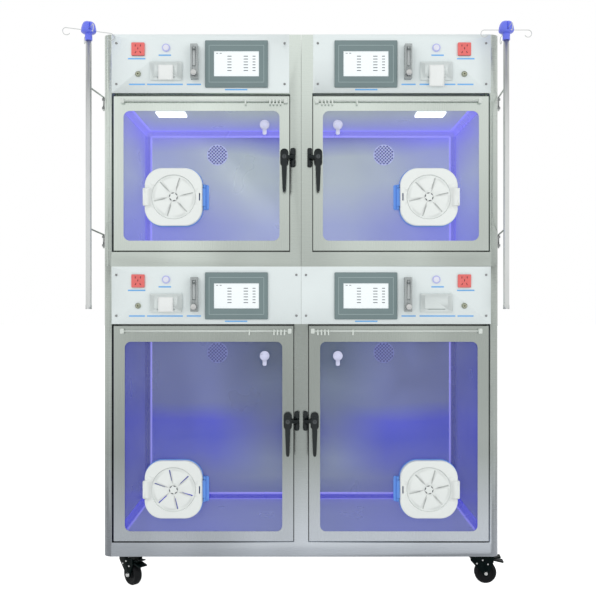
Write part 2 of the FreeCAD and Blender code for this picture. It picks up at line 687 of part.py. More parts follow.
def control_panel(bay):
    a, b = bay.x(bay.panel_inner), bay.x(bay.panel_outer)
    plate = slab(a, b, bay.panel_bottom, bay.panel_top, 2.0, FRONT - PANEL_THICKNESS, FRONT)
    hole = rod(bay.x(PRINTER_X), FRONT - 5, bay.panel_middle + BUTTON_RISE, BUTTON_R + RUN_FIT, 10,
               (0, 1, 0))
    return plate.cut(hole)


def button_ring(bay):
    y = FRONT - PANEL_THICKNESS
    x, z = bay.x(PRINTER_X), bay.panel_middle + BUTTON_RISE
    ring = rod(x, y, z, BUTTON_RING_R, BUTTON_RING_PROUD, (0, -1, 0))
    return ring.cut(rod(x, y + 1, z, BUTTON_R + RUN_FIT, BUTTON_RING_PROUD + 2, (0, -1, 0)))


def power_button(bay):
    x, z = bay.x(PRINTER_X), bay.panel_middle + BUTTON_RISE
    start = FRONT - PANEL_THICKNESS - BUTTON_RING_PROUD - BUTTON_TRAVEL
    return turned([(0, 0), (BUTTON_R - 2.5, 0), (BUTTON_R, 1.0), (BUTTON_R, 16.0), (0, 16.0)],
                  Vector(x, start, z), Vector(0, 1, 0))


def touchscreen(bay):
    x, z = bay.x(SCREEN_X), bay.panel_middle - 2
    y = FRONT - PANEL_THICKNESS
    w, h = SCREEN_WIDTH / 2, SCREEN_HEIGHT / 2
    bezel = slab(x - w, x + w, z - h, z + h, 3.0, y - SCREEN_PROUD, y)
    rim = [e for e in bezel.Edges if all(abs(v.Y - y + SCREEN_PROUD) < 1e-6 for v in e.Vertexes)]
    bezel = bezel.makeChamfer(1.5, rim)
    dw, dh = DISPLAY_WIDTH / 2, DISPLAY_HEIGHT / 2
    well = box(x - dw, x + dw, y - SCREEN_PROUD - 1, y - SCREEN_PROUD + DISPLAY_RECESS + 1, z - dh, z + dh)
    display = box(x - dw, x + dw, y - SCREEN_PROUD + DISPLAY_RECESS, y - SCREEN_PROUD + DISPLAY_RECESS + 1,
                  z - dh, z + dh)
    return [bezel.cut(well), display]


def flowmeter(bay):
    """A clear-fronted tapered tube meter with a needle valve bore for its knob."""
    x, z = bay.x(METER_X), bay.panel_middle + METER_RISE
    y = FRONT - PANEL_THICKNESS
    w, h = METER_WIDTH / 2, METER_HEIGHT / 2
    body = slab(x - w, x + w, z - h, z + h, 2.0, y - METER_PROUD, y)
    tube = rod(x, y - METER_PROUD, z - 18, METER_BORE_R, 66, (0, 0, 1))
    knob_z = bay.panel_middle - KNOB_DROP
    bore = rod(x, y - METER_PROUD - 1, knob_z, KNOB_SHAFT_R + RUN_FIT, 12, (0, 1, 0))
    return body.cut([tube, bore])


def flow_knob(bay):
    x, z = bay.x(METER_X), bay.panel_middle - KNOB_DROP
    y = FRONT - PANEL_THICKNESS - METER_PROUD
    cap = turned([(0, 10.0), (KNOB_SHAFT_R, 10.0), (KNOB_SHAFT_R, -SEAT_GAP), (KNOB_R, -SEAT_GAP),
                  (KNOB_R, -KNOB_LENGTH + 1.5), (KNOB_R - 1.5, -KNOB_LENGTH), (0, -KNOB_LENGTH)],
                 Vector(x, y, z), Vector(0, 1, 0))
    flutes = []
    for n in range(8):
        turn = math.radians(n * 45)
        flutes.append(rod(x + (KNOB_R + 0.6) * math.cos(turn), y - 2, z + (KNOB_R + 0.6) * math.sin(turn),
                          1.6, KNOB_LENGTH, (0, -1, 0)))
    return cap.cut(flutes)


def printer(bay):
    x, z = bay.x(PRINTER_X), bay.panel_middle - PRINTER_DROP
    y = FRONT - PANEL_THICKNESS
    w, h = PRINTER_WIDTH / 2, PRINTER_HEIGHT / 2
    plate = slab(x - w, x + w, z - h, z + h, 4.0, y - PRINTER_PROUD, y)
    lid = slab(x - w + 14, x + w - 14, z - h + 12, z + h - 6, 4.0, y - PRINTER_PROUD - 2, y - PRINTER_PROUD)
    slot = box(x - 30, x + 30, y - PRINTER_PROUD - 3, y - 2, z - h + 9, z - h + 12)
    return plate.fuse(lid).cut(slot).removeSplitter()


def power_socket(bay):
    """A flush five-hole outlet: two round holes over three slanted slots."""
    x, z = bay.x(OUTLET_X), bay.panel_middle + SOCKET_RISE
    y = FRONT - PANEL_THICKNESS
    half = SOCKET_SIZE / 2
    body = slab(x - half, x + half, z - half, z + half, 3.0, y - SOCKET_PROUD, y)
    holes = []
    for dx, dz, tilt in ((-9, 12, 0), (9, 12, 0), (0, 2, 0), (-8, -11, 30), (8, -11, -30)):
        hole = box(x + dx - 1.1, x + dx + 1.1, y - SOCKET_PROUD - 1, y - 1, z + dz - 3.4, z + dz + 3.4)
        holes.append(spin(hole, Vector(x + dx, 0, z + dz), Vector(0, 1, 0), tilt))
    return body.cut(holes)


def gas_jack(bay):
    """The outlet for a nebuliser tube: a turned nipple with a blind bore."""
    x, z = bay.x(OUTLET_X), bay.panel_middle - JACK_DROP
    y = FRONT - PANEL_THICKNESS
    r, p = JACK_R, JACK_PROUD
    return turned([(0, 0), (r, 0), (r, -3), (r * 0.75, -4), (r * 0.62, -p), (JACK_BORE_R, -p),
                   (JACK_BORE_R, -p + JACK_BORE_DEPTH), (0, -p + JACK_BORE_DEPTH)],
                  Vector(x, y, z), Vector(0, 1, 0))


def power_inlet(bay):
    """The mains inlet on the back of each control compartment."""
    x, z = bay.x(OUTLET_X), bay.panel_middle
    w, h = INLET_WIDTH / 2, INLET_HEIGHT / 2
    body = slab(x - w, x + w, z - h, z + h, 3.0, BACK, BACK + 3)
    well = slab(x - w + 8, x + w - 8, z - h + 5, z + h - 5, 3.0, BACK + 1, BACK + 4)
    return body.cut(well)


def panel_screws(bay):
    profile = [(0, 0), (SCREW_R, 0), (SCREW_R, -1.2), (SCREW_R * 0.6, -SCREW_PROUD), (0, -SCREW_PROUD)]
    screws = []
    for px in (bay.panel_inner + SCREW_INSET, bay.panel_outer - SCREW_INSET):
        for pz in (-SCREW_RISE, SCREW_RISE):
            spot = Vector(bay.x(px), FRONT - PANEL_THICKNESS, bay.panel_middle + pz)
            screws.append(turned(profile, spot, Vector(0, 1, 0)))
    return screws


def pole_axis(side):
    """Where a pole stands, and the bracket pin that it swings about."""
    pin = Vector(side * (HALF + ARM_PIN_OFF), FRONT + ARM_PIN_SETBACK, 0)
    turn = math.radians(POLE_TURNS[side])
    return pin, pin + Vector(side * POLE_ARM * math.sin(turn), -POLE_ARM * math.cos(turn), 0)


def pole_bracket(side, height):
    pin, _ = pole_axis(side)
    z = height - ARM_FALL
    x0 = side * HALF
    half = BRACKET_GAP / 2
    plate = box(x0, x0 + side * 2.5, pin.y - BRACKET_WIDTH / 2, pin.y + BRACKET_WIDTH / 2,
                z - half - BRACKET_EAR, z + half + BRACKET_EAR)
    pieces = []
    for direction in (-1, 1):
        base = z + direction * half
        pieces.append(rod(pin.x, pin.y, base, BRACKET_R, BRACKET_EAR, (0, 0, direction)))
        pieces.append(box(x0, pin.x, pin.y - BRACKET_R, pin.y + BRACKET_R,
                          base, base + direction * BRACKET_EAR))
    bracket = plate.fuse(pieces)
    bore = rod(pin.x, pin.y, z - 40, ARM_R + RUN_FIT, 80, (0, 0, 1))
    return bracket.cut(bore).removeSplitter()


def iv_pole(side):
    pin, axis = pole_axis(side)
    tube = rod(axis.x, axis.y, POLE_BOTTOM + 3, POLE_R, POLE_TOP - POLE_BOTTOM - 3, (0, 0, 1))
    tube = tube.cut(rod(axis.x, axis.y, POLE_BOTTOM, POLE_R - SHEET, POLE_TOP - POLE_BOTTOM - 4, (0, 0, 1)))
    ear_top = BRACKET_GAP / 2 + BRACKET_EAR
    arms = []
    for height in ARM_HEIGHTS:
        low = Vector(pin.x, pin.y, height - ARM_FALL + ear_top + SEAT_GAP + ARM_R)
        high = Vector(axis.x, axis.y, height)
        away = (pin - axis).normalize() * (POLE_R - 1)
        high = high + Vector(away.x, away.y, 0)
        run = low - high
        arms.append(Part.makeCylinder(ARM_R, run.Length, high, run))
        arms.append(Part.makeSphere(ARM_R, low))
        drop = 2 * ear_top + SEAT_GAP + ARM_R + ARM_PIN_TAIL
        arms.append(rod(pin.x, pin.y, low.z, ARM_R, drop, (0, 0, -1)))
    pole = tube.fuse(arms).removeSplitter()
    cap = rod(axis.x, axis.y, POLE_BOTTOM, POLE_R + 0.8, POLE_CAP, (0, 0, 1))
    cap = cap.cut(rod(axis.x, axis.y, POLE_BOTTOM + 3, POLE_R, POLE_CAP, (0, 0, 1)))
    return [pole, cap]


def square_loop(centre, width, z, r):
    half = width / 2
    loop = rounded_loop(-half, half, -half, half, r, 0)
    loop.rotate(Vector(0, 0, 0), Vector(1, 0, 0), 90)
    loop.translate(Vector(centre.x, centre.y, z))
    return loop


def iv_head(side):
    """A four-lobed crown with a collar, and four wire hooks that end in loops."""
    _, axis = pole_axis(side)
    base = POLE_TOP + 5 - HEAD_SKIRT / 2
    waist = base + HEAD_SKIRT
    crown = base + HEAD_HEIGHT
    skirt = Part.makeLoft([square_loop(axis, 2 * COLLAR_R + 8, base, 6.0),
                           square_loop(axis, HEAD_WIDTH, waist, 6.0)], True, True)
    dome = Part.makeLoft([square_loop(axis, HEAD_WIDTH, waist, 6.0),
                          square_loop(axis, HEAD_TOP_WIDTH, crown, 8.0)], True, True)
    collar = rod(axis.x, axis.y, base - COLLAR_HEIGHT, COLLAR_R, COLLAR_HEIGHT + 1, (0, 0, 1))
    body = skirt.fuse([dome, collar])
    foot = base - COLLAR_HEIGHT - 1
    body = body.cut(rod(axis.x, axis.y, foot, POLE_R, POLE_TOP - foot, (0, 0, 1)))
    turn = HEAD_TURNS[side]
    centre = Vector(axis.x, axis.y, 0)
    root_z = waist + 4
    grooves, hooks = [], []
    for n in range(HOOK_COUNT):
        angle = turn + n * 360 / HOOK_COUNT
        groove = box(axis.x + HEAD_TOP_WIDTH / 2 - 5, axis.x + HEAD_WIDTH, axis.y - HEAD_GROOVE / 2,
                     axis.y + HEAD_GROOVE / 2, waist - 2, crown + 1)
        grooves.append(spin(groove, centre, Vector(0, 0, 1), angle))
        hooks.append(spin(wire_hook(axis, root_z), centre, Vector(0, 0, 1), angle))
    body = spin(body, centre, Vector(0, 0, 1), turn)
    return [body.cut(grooves).cut(hooks).removeSplitter()] + hooks


def wire_hook(axis, z):
    """A straight wire that ends in an open loop hanging below it."""
    r = HOOK_LOOP_R
    start_x = axis.x + HEAD_TOP_WIDTH / 2 - 7
    middle = Vector(axis.x + HOOK_REACH - HOOK_R - r, axis.y, z - r)
    wire = rod(start_x, axis.y, z, HOOK_R, middle.x - start_x, (1, 0, 0))
    loop = Part.makeTorus(r, HOOK_R, middle, Vector(0, 1, 0), -180, 180, HOOK_SWEEP)
    return wire.fuse(loop).removeSplitter()


class Caster:
    def __init__(self, name):
        self.name = name
        self.x = CASTER_X * (-1 if name.endswith("left") else 1)
        self.y = FRONT + CASTER_SETBACK if name.startswith("front") else BACK - CASTER_SETBACK
        self.turn = CASTER_TURNS[name]

    def place(self, shape):
        """Turn a piece that was made trailing towards +X and set it under its plate."""
        copy = spin(shape, Vector(0, 0, 0), Vector(0, 0, 1), self.turn)
        copy.translate(Vector(self.x, self.y, 0))
        return copy


CASTERS = [Caster(name) for name in CASTER_TURNS]
CROWN_TOP = UNDERSIDE - PLATE_THICKNESS - SEAT_GAP
FORK_HALF = WHEEL_WIDTH / 2 + FORK_GAP
PEDAL_PIN_Z = WHEEL_R * 2 + 10
PEDAL_PIN_X = CASTER_TRAIL + 20


def caster_plate(caster):
    half = PLATE_SIZE / 2
    z0 = UNDERSIDE - PLATE_THICKNESS
    plate = box(caster.x - half, caster.x + half, caster.y - half, caster.y + half, z0, UNDERSIDE)
    upright = [e for e in plate.Edges if abs(e.Vertexes[0].Z - e.Vertexes[1].Z) > 1]
    plate = plate.makeFillet(8.0, upright)
    return plate.cut(rod(caster.x, caster.y, z0 - 1, KING_PIN_R + RUN_FIT, PLATE_THICKNESS, (0, 0, 1)))


def caster_fork(caster, braked):
    """A crown with two cheeks that carry the axle, trailing behind the swivel."""
    crown = turned([(0, 0), (CROWN_R - 4, 0), (CROWN_R, 4), (CROWN_R, CROWN_HEIGHT), (0, CROWN_HEIGHT)],
                   Vector(0, 0, CROWN_TOP - CROWN_HEIGHT), Vector(0, 0, 1))
    king = rod(0, 0, CROWN_TOP - 1, KING_PIN_R, PLATE_THICKNESS - 0.5, (0, 0, 1))
    pieces = [king]
    top = CROWN_TOP - CROWN_HEIGHT + 4
    axle_z = WHEEL_R
    for direction in (-1, 1):
        y0, y1 = direction * FORK_HALF, direction * (FORK_HALF + FORK_SHEET)
        reach = PEDAL_PIN_X + 7 if braked else CASTER_TRAIL + 9
        cheek = outline_xz([(-18, top), (reach, top), (reach, PEDAL_PIN_Z - 8), (CASTER_TRAIL + 11, axle_z),
                            (CASTER_TRAIL + 6, axle_z - 11), (CASTER_TRAIL - 6, axle_z - 11),
                            (CASTER_TRAIL - 12, axle_z), (-18, top - 16)], y0, y1)
        pieces.append(cheek)
    bridge = box(-18, 22, -FORK_HALF - FORK_SHEET, FORK_HALF + FORK_SHEET, top - 2, top + 3)
    end = FORK_HALF + FORK_SHEET + 5
    axle = rod(CASTER_TRAIL, -end, axle_z, AXLE_R, 2 * end, (0, 1, 0))
    pieces += [bridge, axle]
    if braked:
        pieces.append(rod(PEDAL_PIN_X, -FORK_HALF - FORK_SHEET, PEDAL_PIN_Z, PEDAL_PIN_R,
                          2 * (FORK_HALF + FORK_SHEET), (0, 1, 0)))
    return caster.place(crown.fuse(pieces).removeSplitter())


def caster_wheel(caster):
    w = WHEEL_WIDTH / 2
    bore = AXLE_R + RUN_FIT
    wheel = turned([(bore, -w), (14, -w), (15, -w + 4), (25, -w + 4), (27, -w + 1), (WHEEL_R - 4, -w + 1),
                    (WHEEL_R, -w + 7), (WHEEL_R, w - 7), (WHEEL_R - 4, w - 1), (27, w - 1), (25, w - 4),
                    (15, w - 4), (14, w), (bore, w)], Vector(CASTER_TRAIL, 0, WHEEL_R), Vector(0, 1, 0))
    return caster.place(wheel)


def brake_pedal(caster):
    """A rocker on a cross pin between the cheeks, with a press blade and a release blade."""
    w = PEDAL_WIDTH / 2
    x, z = PEDAL_PIN_X, PEDAL_PIN_Z
    barrel = rod(x, -FORK_HALF + SEAT_GAP, z, PEDAL_PIN_R + 3, 2 * (FORK_HALF - SEAT_GAP), (0, 1, 0))
    out = x + PEDAL_LENGTH
    blade = outline_xz([(x, z + 1), (x, z - 4), (out, z - 12), (out + 2, z - 7)], -w, w)
    lift = outline_xz([(x, z + 5), (x, z), (out - 8, z + 6), (out - 8, z + 10)], -w, w)
    narrow = FORK_HALF - SEAT_GAP
    inside = box(x - 10, x + 12, -narrow, narrow, z - 30, z + 30)
    keep = inside.fuse(box(x + 11, out + 10, -w, w, z - 30, z + 30))
    body = barrel.fuse([blade.common(keep), lift.common(keep)])
    body = body.cut(rod(x, -w - 5, z, PEDAL_PIN_R + RUN_FIT, 2 * w + 10, (0, 1, 0)))
    return caster.place(body.removeSplitter())


def build():
    nodes = {"lower_shell": [lower_shell()]}
    for bay in BAYS:
        if bay.name.startswith("upper"):
            nodes[bay.name + "_shell"] = [upper_shell(bay)]
    nodes["chamber_liners"] = [chamber_liner(bay) for bay in BAYS] + [chamber_lamp(bay) for bay in BAYS]
    nodes["door_gaskets"] = [gasket(bay) for bay in BAYS]
    nodes["control_panels"] = [control_panel(bay) for bay in BAYS] + [button_ring(bay) for bay in BAYS]
    nodes["touchscreens"] = [piece for bay in BAYS for piece in touchscreen(bay)]
    nodes["flowmeters"] = [flowmeter(bay) for bay in BAYS]
    nodes["printers"] = [printer(bay) for bay in BAYS]
    nodes["panel_outlets"] = [make(bay) for make in (power_socket, gas_jack, power_inlet) for bay in BAYS]
    nodes["panel_screws"] = [screw for bay in BAYS for screw in panel_screws(bay)]
    nodes["latch_keepers"] = [keeper(bay) for bay in BAYS]
    nodes["pole_brackets"] = [pole_bracket(side, height)
                              for side in SIDES.values() for height in ARM_HEIGHTS]
    nodes["caster_plates"] = [caster_plate(caster) for caster in CASTERS]
    for bay in BAYS:
        nodes[bay.name + "_door_frame"] = ([door_frame(bay), port_ring(bay), latch_base(bay)]
                                           + curtain_rail(bay) + gliders(bay))
        nodes[bay.name + "_door_glass"] = [door_glass(bay)]
        nodes[bay.name + "_latch"] = latch_handle(bay)
        nodes[bay.name + "_port_door"] = [port_door(bay)]
        nodes[bay.name + "_vent_rotor"] = [vent_rotor(bay)]
        nodes[bay.name + "_tube_plug"] = [tube_plug(bay)]
        nodes[bay.name + "_flow_knob"] = [flow_knob(bay)]
        nodes[bay.name + "_power_button"] = [power_button(bay)]
    for side_name, side in SIDES.items():
        nodes[side_name + "_iv_pole"] = iv_pole(side)
        nodes[side_name + "_iv_head"] = iv_head(side)
    for caster in CASTERS:
        braked = caster.name.startswith("front")
        nodes[caster.name + "_caster_fork"] = [caster_fork(caster, braked)]
        nodes[caster.name + "_caster_wheel"] = [caster_wheel(caster)]
        if braked:
            nodes[caster.name + "_brake_pedal"] = [brake_pedal(caster)]
    return nodes


os.makedirs("parts", exist_ok=True)
for node_name, solids in build().items():
    for solid in solids:
        if not solid.isValid() or solid.Volume <= 0:
            print("check", node_name, solid.ShapeType, solid.Volume)
    whole = solids[0] if len(solids) == 1 else Part.makeCompound(solids)
    whole.exportStep("parts/" + node_name + ".step")
    print(node_name, len(whole.Solids), "solids")
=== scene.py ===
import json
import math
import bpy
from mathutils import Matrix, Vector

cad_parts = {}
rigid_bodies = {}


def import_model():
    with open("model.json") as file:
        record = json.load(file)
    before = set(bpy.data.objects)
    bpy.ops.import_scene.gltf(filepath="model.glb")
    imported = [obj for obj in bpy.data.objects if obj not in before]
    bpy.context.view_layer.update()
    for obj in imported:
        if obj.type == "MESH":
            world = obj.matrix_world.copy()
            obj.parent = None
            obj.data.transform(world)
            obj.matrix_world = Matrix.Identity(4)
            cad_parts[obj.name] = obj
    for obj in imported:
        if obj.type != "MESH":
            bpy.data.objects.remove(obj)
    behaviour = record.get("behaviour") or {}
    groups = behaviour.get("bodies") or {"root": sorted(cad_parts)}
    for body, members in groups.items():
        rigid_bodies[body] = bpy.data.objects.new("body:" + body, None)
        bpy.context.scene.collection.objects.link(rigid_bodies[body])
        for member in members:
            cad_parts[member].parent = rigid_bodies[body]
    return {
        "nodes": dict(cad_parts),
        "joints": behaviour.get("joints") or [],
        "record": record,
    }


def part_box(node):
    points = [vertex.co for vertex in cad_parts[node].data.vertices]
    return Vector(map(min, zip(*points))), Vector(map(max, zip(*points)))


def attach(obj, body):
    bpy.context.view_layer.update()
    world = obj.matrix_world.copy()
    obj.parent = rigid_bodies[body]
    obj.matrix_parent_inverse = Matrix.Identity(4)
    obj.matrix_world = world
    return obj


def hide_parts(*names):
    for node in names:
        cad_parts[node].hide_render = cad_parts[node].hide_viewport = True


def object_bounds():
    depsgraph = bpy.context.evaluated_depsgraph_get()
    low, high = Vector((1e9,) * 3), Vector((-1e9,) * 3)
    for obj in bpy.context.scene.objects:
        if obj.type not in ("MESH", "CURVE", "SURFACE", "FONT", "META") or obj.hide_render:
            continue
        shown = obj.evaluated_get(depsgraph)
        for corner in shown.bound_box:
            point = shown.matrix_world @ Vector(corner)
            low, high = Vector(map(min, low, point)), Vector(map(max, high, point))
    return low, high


bl_info = {
    "name": "Stacked Care Cage",
    "version": (1, 0, 0),
    "blender": (4, 5, 0),
    "location": "3D View > Sidebar > Care Cage",
    "description": "Dresses the solids of a stacked veterinary care cage and sets its studio",
    "category": "Object",
}

import bmesh
import bpy
from bpy.props import FloatProperty, FloatVectorProperty, IntProperty, PointerProperty
from mathutils import Matrix, Vector

# Metres, in the frame of the solids: X right, the doors face -Y, Z up.
for leftover in list(bpy.data.objects):
    bpy.data.objects.remove(leftover)
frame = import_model()
CAD_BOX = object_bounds()
RECORD = frame["record"]
JOINTS = {joint["name"]: joint for joint in frame["joints"]}
OPENINGS = {opening["name"]: opening["box_m"] for opening in RECORD["physics"]["openings"]}
BODY_OF = {node: body for body, nodes in RECORD["behaviour"]["bodies"].items() for node in nodes}
SLOT_OF = {part["node"]: part["material_slot"] for part in RECORD["subparts"]}

# Places on a control panel: distance from the cage's middle, height over the knob of its meter
PANEL_ITEMS = {
    "socket": (0.559, 0.0885), "button": (0.463, 0.0935), "jack": (0.559, 0.0035),
    "printer": (0.463, 0.0135), "meter": (0.365, 0.0425), "screen": (0.2215, 0.0375),
}
LABEL_BARS = [(0.564, 0.0565, 0.060), (0.4675, 0.0685, 0.043), (0.563, -0.0315, 0.055),
              (0.467, -0.0315, 0.123), (0.368, -0.0315, 0.049), (0.223, -0.0495, 0.077)]
# Painted light and shade of the liner from the chamber's floor (0) to its ceiling (1), linear: near the
# cage's middle or its doors, then far from them, and the axis and the places in metres between which they
# change over
UPPER_WALLS = {
    "back": ([(0.0, (0.33, 0.37, 0.58)), (0.26, (0.33, 0.38, 0.58)), (0.45, (0.42, 0.48, 0.56)),
              (0.62, (0.48, 0.55, 0.53)), (0.82, (0.47, 0.54, 0.51)), (0.92, (0.26, 0.30, 0.50)),
              (1.0, (0.07, 0.07, 0.44))],
             [(0.0, (0.23, 0.25, 0.70)), (0.30, (0.25, 0.27, 0.70)), (0.50, (0.34, 0.38, 0.66)),
              (0.65, (0.44, 0.50, 0.62)), (0.85, (0.37, 0.42, 0.60)), (1.0, (0.19, 0.17, 0.80))],
             ("X", 0.22, 0.55)),
    "side": ([(0.0, (0.17, 0.19, 0.54)), (0.35, (0.22, 0.25, 0.53)), (0.6, (0.33, 0.37, 0.48)),
              (0.85, (0.28, 0.31, 0.48)), (1.0, (0.20, 0.19, 0.62))],
             [(0.0, (0.16, 0.18, 0.54)), (0.6, (0.27, 0.30, 0.52)), (1.0, (0.19, 0.18, 0.64))],
             ("Y", -0.20, 0.30)),
    "flat": ([(0.0, (0.26, 0.28, 0.60)), (1.0, (0.36, 0.41, 0.37))],
             [(0.0, (0.26, 0.28, 0.60)), (1.0, (0.27, 0.29, 0.60))],
             ("Y", 0.02, 0.32)),
}
LOWER_WALLS = {
    "back": ([(0.0, (0.10, 0.13, 0.36)), (0.12, (0.20, 0.25, 0.38)), (0.22, (0.18, 0.23, 0.38)),
              (0.36, (0.09, 0.12, 0.36)), (0.50, (0.09, 0.13, 0.27)), (0.63, (0.12, 0.17, 0.27)),
              (0.76, (0.05, 0.09, 0.17)), (1.0, (0.04, 0.08, 0.15))],
             [(0.0, (0.10, 0.12, 0.44)), (0.12, (0.14, 0.17, 0.46)), (0.22, (0.06, 0.08, 0.58)),
              (0.32, (0.01, 0.025, 0.58)), (0.43, (0.02, 0.03, 0.62)), (0.54, (0.12, 0.15, 0.40)),
              (0.80, (0.11, 0.14, 0.38)), (1.0, (0.08, 0.11, 0.36))],
             ("X", 0.14, 0.36)),
    "side": ([(0.0, (0.03, 0.04, 0.38)), (0.35, (0.01, 0.015, 0.42)), (0.7, (0.01, 0.02, 0.48)),
              (1.0, (0.015, 0.03, 0.40))],
             [(0.0, (0.04, 0.05, 0.36)), (0.5, (0.02, 0.03, 0.40)), (1.0, (0.04, 0.06, 0.32))],
             ("Y", -0.10, 0.33)),
    "flat": ([(0.0, (0.25, 0.285, 0.60)), (1.0, (0.06, 0.08, 0.16))],
             [(0.0, (0.19, 0.215, 0.56)), (1.0, (0.06, 0.08, 0.16))],
             ("Y", -0.25, 0.30)),
}
# Painted shade deep in the rounded corners of a liner: upright bends and lying bends
COVES = {"upper": ((0.12, 0.11, 0.56), (0.18, 0.16, 0.66)),
         "lower": ((0.0, 0.002, 0.26), (0.02, 0.01, 0.60))}
# The outlets in the back walls, painted with the same light as their walls and glowing with it
OUTLET_COLOURS = {"upper": (0.52, 0.56, 0.76), "lower": (0.16, 0.19, 0.54)}
# Light on the polished sheet from the floor (0) to the top of the cage (1), which its tint is multiplied by
STEEL_LIGHT = [(0.0, (1.02, 1.0, 1.18)), (0.11, (0.96, 0.94, 1.08)), (0.24, (0.66, 0.66, 0.68)),
               (0.46, (0.78, 0.78, 0.78)), (0.58, (1.08, 1.08, 1.08)), (0.80, (1.28, 1.28, 1.28)),
               (1.0, (1.36, 1.36, 1.36))]


class Bay:
    """One chamber, its door and its panel, with the places that the joints give."""

    def __init__(self, name):
        self.name = name
        self.tier = name.split("_")[0]
        self.upper = self.tier == "upper"
        self.side = -1 if name.endswith("left") else 1
        self.knob = Vector(JOINTS[name + "_knob_turn"]["pos_m"])
        self.port = Vector(JOINTS[name + "_vent_turn"]["pos_m"])
        self.hub = Vector(JOINTS[name + "_latch_turn"]["pos_m"])
        self.chamber = [Vector(corner) for corner in OPENINGS[name + "_chamber"]]
        self.front_face = self.hub.y
        self.panel_face = self.front_face - 0.002

    def spot(self, item):
        """Where a panel item stands, on the door plane."""
        across, rise = PANEL_ITEMS[item]
        return Vector((self.side * across, self.front_face, self.knob.z + rise))


BAYS = [Bay(tier + "_" + side) for tier in ("lower", "upper") for side in ("left", "right")]


# Settings


class CageSteelSettings(bpy.types.PropertyGroup):
    tint: FloatVectorProperty(name="Steel Tint", description="Colour that the polished sheet reflects",
                              size=3, subtype="COLOR", min=0, max=1, default=(0.58, 0.635, 0.59))
    roughness: FloatProperty(name="Roughness", description="How much the sheet blurs what it reflects",
                             min=0, max=1, default=0.3)
    # The broad dark patches in the sheet are painted reflection
    reflection_cloud: FloatProperty(name="Cloud", description="Depth of the broad dark patches in the sheet", min=0,
                         max=1, default=0.28)


class CageGlowSettings(bpy.types.PropertyGroup):
    colour: FloatVectorProperty(name="Glow Colour", description="Light on the edges of the liner's bends",
                                size=3, subtype="COLOR", min=0, max=1, default=(0.27, 0.25, 0.86))
    upper_strength: FloatProperty(name="Upper Glow", description="Strength in the upper chambers", min=0,
                                  default=0.45)
    lower_strength: FloatProperty(name="Lower Glow", description="Strength in the lower chambers", min=0,
                                  default=0.34)
    vent_radius: FloatProperty(name="Vent Radius", unit="LENGTH", min=0.01, default=0.0450,
                               description="Radius of the perforated outlet in the back wall")
    hole_radius: FloatProperty(name="Hole Radius", description="Radius of one perforation", unit="LENGTH",
                               min=0.0005, default=0.0038)
    hole_pitch: FloatProperty(name="Hole Pitch", description="Distance between perforations", unit="LENGTH",
                              min=0.002, default=0.0100)


class CagePortSettings(bpy.types.PropertyGroup):
    petals: IntProperty(name="Petals", description="Petals, and slits between them, in the turning vent",
                        min=3, max=12, default=6)
    pleat: FloatProperty(name="Pleat Height", description="Rise of a petal's fold", unit="LENGTH", min=0,
                         default=0.0032)
    white: FloatVectorProperty(name="Port White", description="Colour of the port's moulded door", size=3,
                               subtype="COLOR", min=0, max=1, default=(0.80, 0.84, 0.82))
    blue: FloatVectorProperty(name="Seat Blue", description="Colour of the seat and its tab", size=3,
                              subtype="COLOR", min=0, max=1, default=(0.12, 0.31, 0.84))


class CagePanelSettings(bpy.types.PropertyGroup):
    enamel: FloatVectorProperty(name="Enamel", description="Colour of the control panels", size=3,
                                subtype="COLOR", min=0, max=1, default=(0.76, 0.83, 0.83))
    bar: FloatVectorProperty(name="Label Blue", description="Colour of the printed bars", size=3,
                             subtype="COLOR", min=0, max=1, default=(0.16, 0.45, 0.86))
    bar_height: FloatProperty(name="Bar Height", description="Height of a printed bar", unit="LENGTH",
                              min=0.001, default=0.0048)
    rows: IntProperty(name="Screen Rows", description="Rows of readings on a screen", min=1, max=12,
                      default=6)


class CageStudioSettings(bpy.types.PropertyGroup):
    backdrop: FloatVectorProperty(name="Backdrop", description="Colour behind and under the cage", size=3,
                                  subtype="COLOR", min=0, max=1, default=(1.0, 1.0, 1.0))
    key_power: FloatProperty(name="Key Power", description="Power of the large front lamp", subtype="POWER",
                             min=0, default=45.0)
    sky: FloatProperty(name="Sky Strength", description="Strength of the surrounding soft light", min=0,
                       default=0.72)


SETTINGS = {"cage_steel": CageSteelSettings, "cage_glow": CageGlowSettings, "cage_port": CagePortSettings,
            "cage_panel": CagePanelSettings, "cage_studio": CageStudioSettings}


# Nodes


class NodeWork:
    """Short forms for adding nodes to a tree and joining them."""

    def __init__(self, tree):
        self.tree = tree

    def feed(self, socket, value):
        """Give an input a plain value or another node's output; a colour gets its alpha."""
        if isinstance(value, bpy.types.NodeSocket):
            self.tree.links.new(value, socket)
        elif socket.type == "RGBA":
            socket.default_value = (*value, 1)
        else:
            socket.default_value = value

    def add(self, kind, operation=None, **inputs):
        """A node with these inputs; an underscore stands for a space in their names."""
        node = self.tree.nodes.new(kind)
        if operation:
            node.operation = operation
        for name, value in inputs.items():
            self.feed(node.inputs[name.replace("_", " ")], value)
        return node

    def maths(self, operation, *values):
        step = self.add("ShaderNodeMath", operation)
        for socket, value in zip(step.inputs, values):
            self.feed(socket, value)
        return step.outputs[0]

    def spread(self, value, low, high, to_low=0.0, to_high=1.0):
        """Low to high becomes to_low to to_high, held at both ends."""
        ranger = self.add("ShaderNodeMapRange", Value=value, From_Min=low, From_Max=high, To_Min=to_low,
                          To_Max=to_high)
        return ranger.outputs["Result"]


# Finishes


